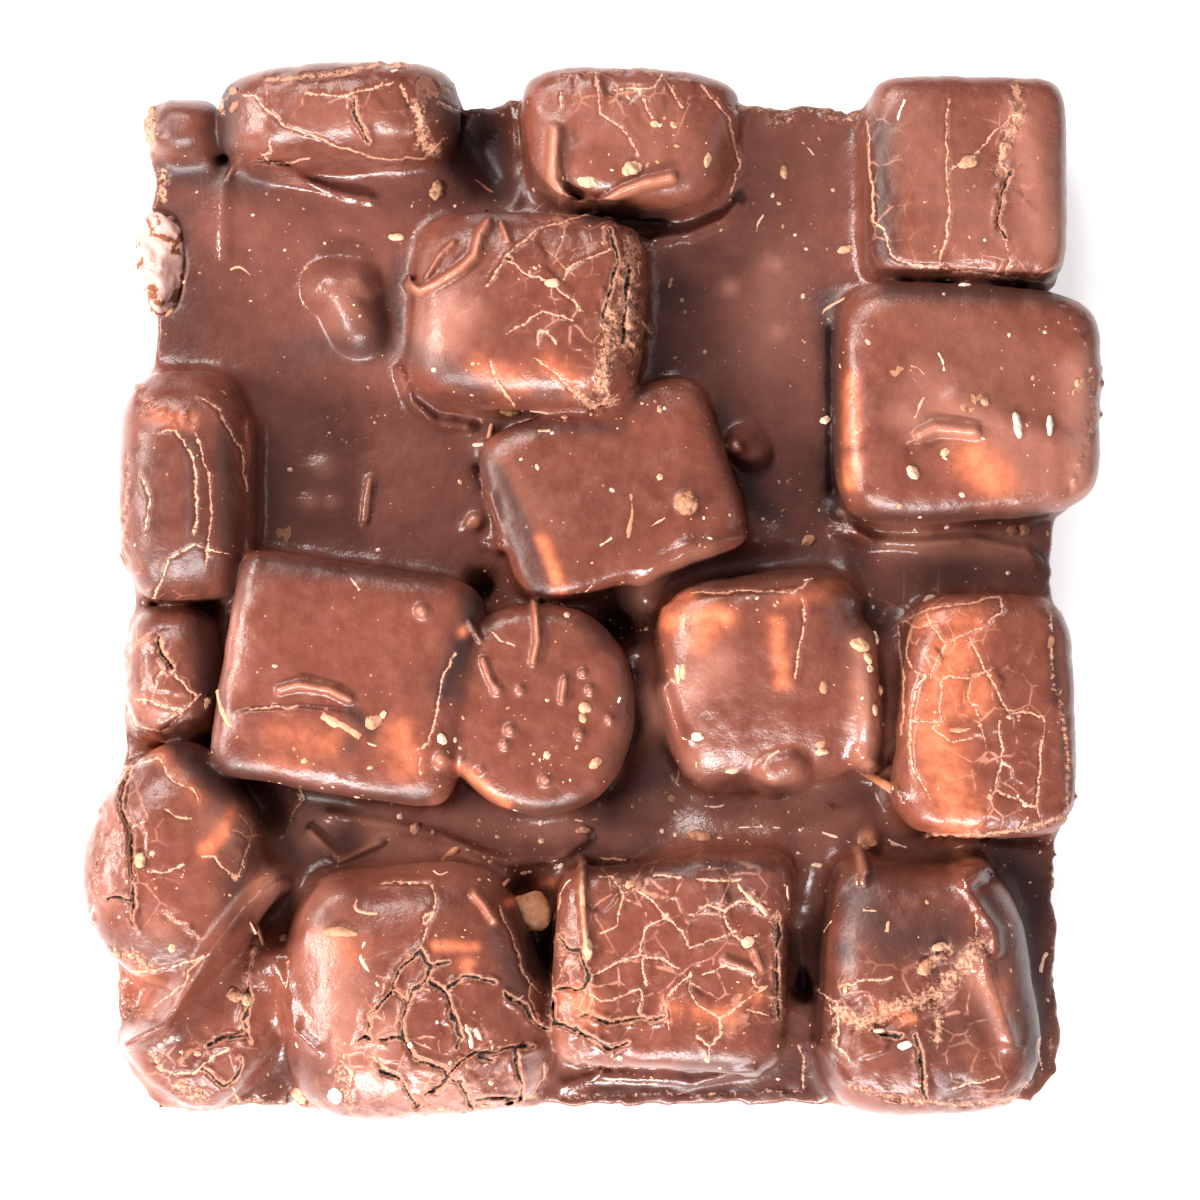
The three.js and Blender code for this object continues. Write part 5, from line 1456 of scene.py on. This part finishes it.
def finish_piece(piece, slot, *nodes, material=None):
    """Makes a piece part of the object: its finish, its body, and the nodes it stands for, whose solids it
    hides. Its slot is not used.
    """
    if material:
        piece.data.materials.append(material)
    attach(piece, "root")
    for node in nodes:
        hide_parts(node)
    return piece


bed_mesh = mesh_block("chocolate_bed", *bed_block(), adaptivity=0.02)
slab = [finish_piece(bed_mesh, "chocolate", "bed", material=poured)]
for lump_name in LUMPS:
    coat = mesh_block("coat_" + lump_name, *coat_block(lump_name))
    slab.append(finish_piece(coat, "coat", lump_name, material=dipped))


def bare_piece(node, step, seed, finish, slot, tone=0.0):
    """A bare piece in place of its solid: rounded, with broken faces and a pitted skin."""
    margin, swell = 1, 0.3
    low, high = (np.array(corner) / MM - np.array(SHIFT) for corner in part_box(node))
    x, y, z = axes(low - margin, high + margin, step)
    faces = 0.55 * noise([x, y, z], 2.2, seed=seed)
    pits = 0.12 * noise([x, y, z], 0.7, seed=seed + 1)
    field = bare_field(node, x, y, z) + (faces + pits) - swell
    block = mesh_block(node + "_piece", field, low - margin, step, traced=False)
    keep(block.data, "tone", np.full(len(block.data.vertices), tone))
    finish_piece(block, slot, node, material=finish)


nut = crumb_finish(
    "broken_nut", [(0.0, "#E8DACD"), (0.45, "#D0A888"), (0.7, "#A87250"), (1.0, "#70432A")], 0.55
)
bare_piece("bare_marshmallow", 0.2, 61, torn_marshmallow(), "marshmallow")
bare_nuts = {"nut_corner": 0.05, "nut_hollow": 0.72, "nut_front_edge": 0.1}
for number, (node_name, tone) in enumerate(bare_nuts.items()):
    bare_piece(node_name, 0.12, 71 + 2 * number, nut, "nut", tone)

shred_matter = crumb_finish(
    "coconut_shred", [(0.0, "#EAD2BE"), (0.3, "#DCA184"), (0.6, "#B0704E"), (1.0, "#7A4832")], 0.5
)
# The toppings. Every draw comes from one seeded row, so the order of these calls matters.
surface = Surface(slab)
draw = np.random.default_rng(7)
round_bit, flat_bit = "GeometryNodeMeshIcoSphere", "GeometryNodeMeshCylinder"
shard = {"Vertices": 9, "Side_Segments": 1, "Radius": 1.0, "Depth": 2.0}
shapes = {
    "crumbs": (scattered_crumbs(draw), 0.6, 0.2, round_bit, {}, {"Radius": 1.0, "Subdivisions": 1}),
    "nut_pieces": (NUTS, 0.6, 0.2, round_bit, {}, {"Radius": 1.0, "Subdivisions": 4}),
    "flakes": (FLAKES, 0.14, 1.2, flat_bit, {"fill_type": "TRIANGLE_FAN"}, shard),
}
for shape_name, (things, thickness, sunk, *form) in shapes.items():
    tree = bits_tree(shape_name, crumb_matter, shape_name == "nut_pieces", *form)
    points, marks = laid(surface, things, thickness, sunk, draw)
    bits = grown(shape_name, tree, points, [], marks, Roughness=1.0, Grain=0.9 * MM)
    finish_piece(bits, "nut")
points, edges, marks = lay_strands(surface, draw)
tree = strands_tree("shreds", shred_matter)
strands = grown("shreds", tree, points, edges, marks, Roughness=0.22 * MM, Grain=0.9 * MM)
finish_piece(strands, "nut")

bpy.context.scene.view_settings.view_transform = "Standard"
make_floor()
make_lights()
make_camera()
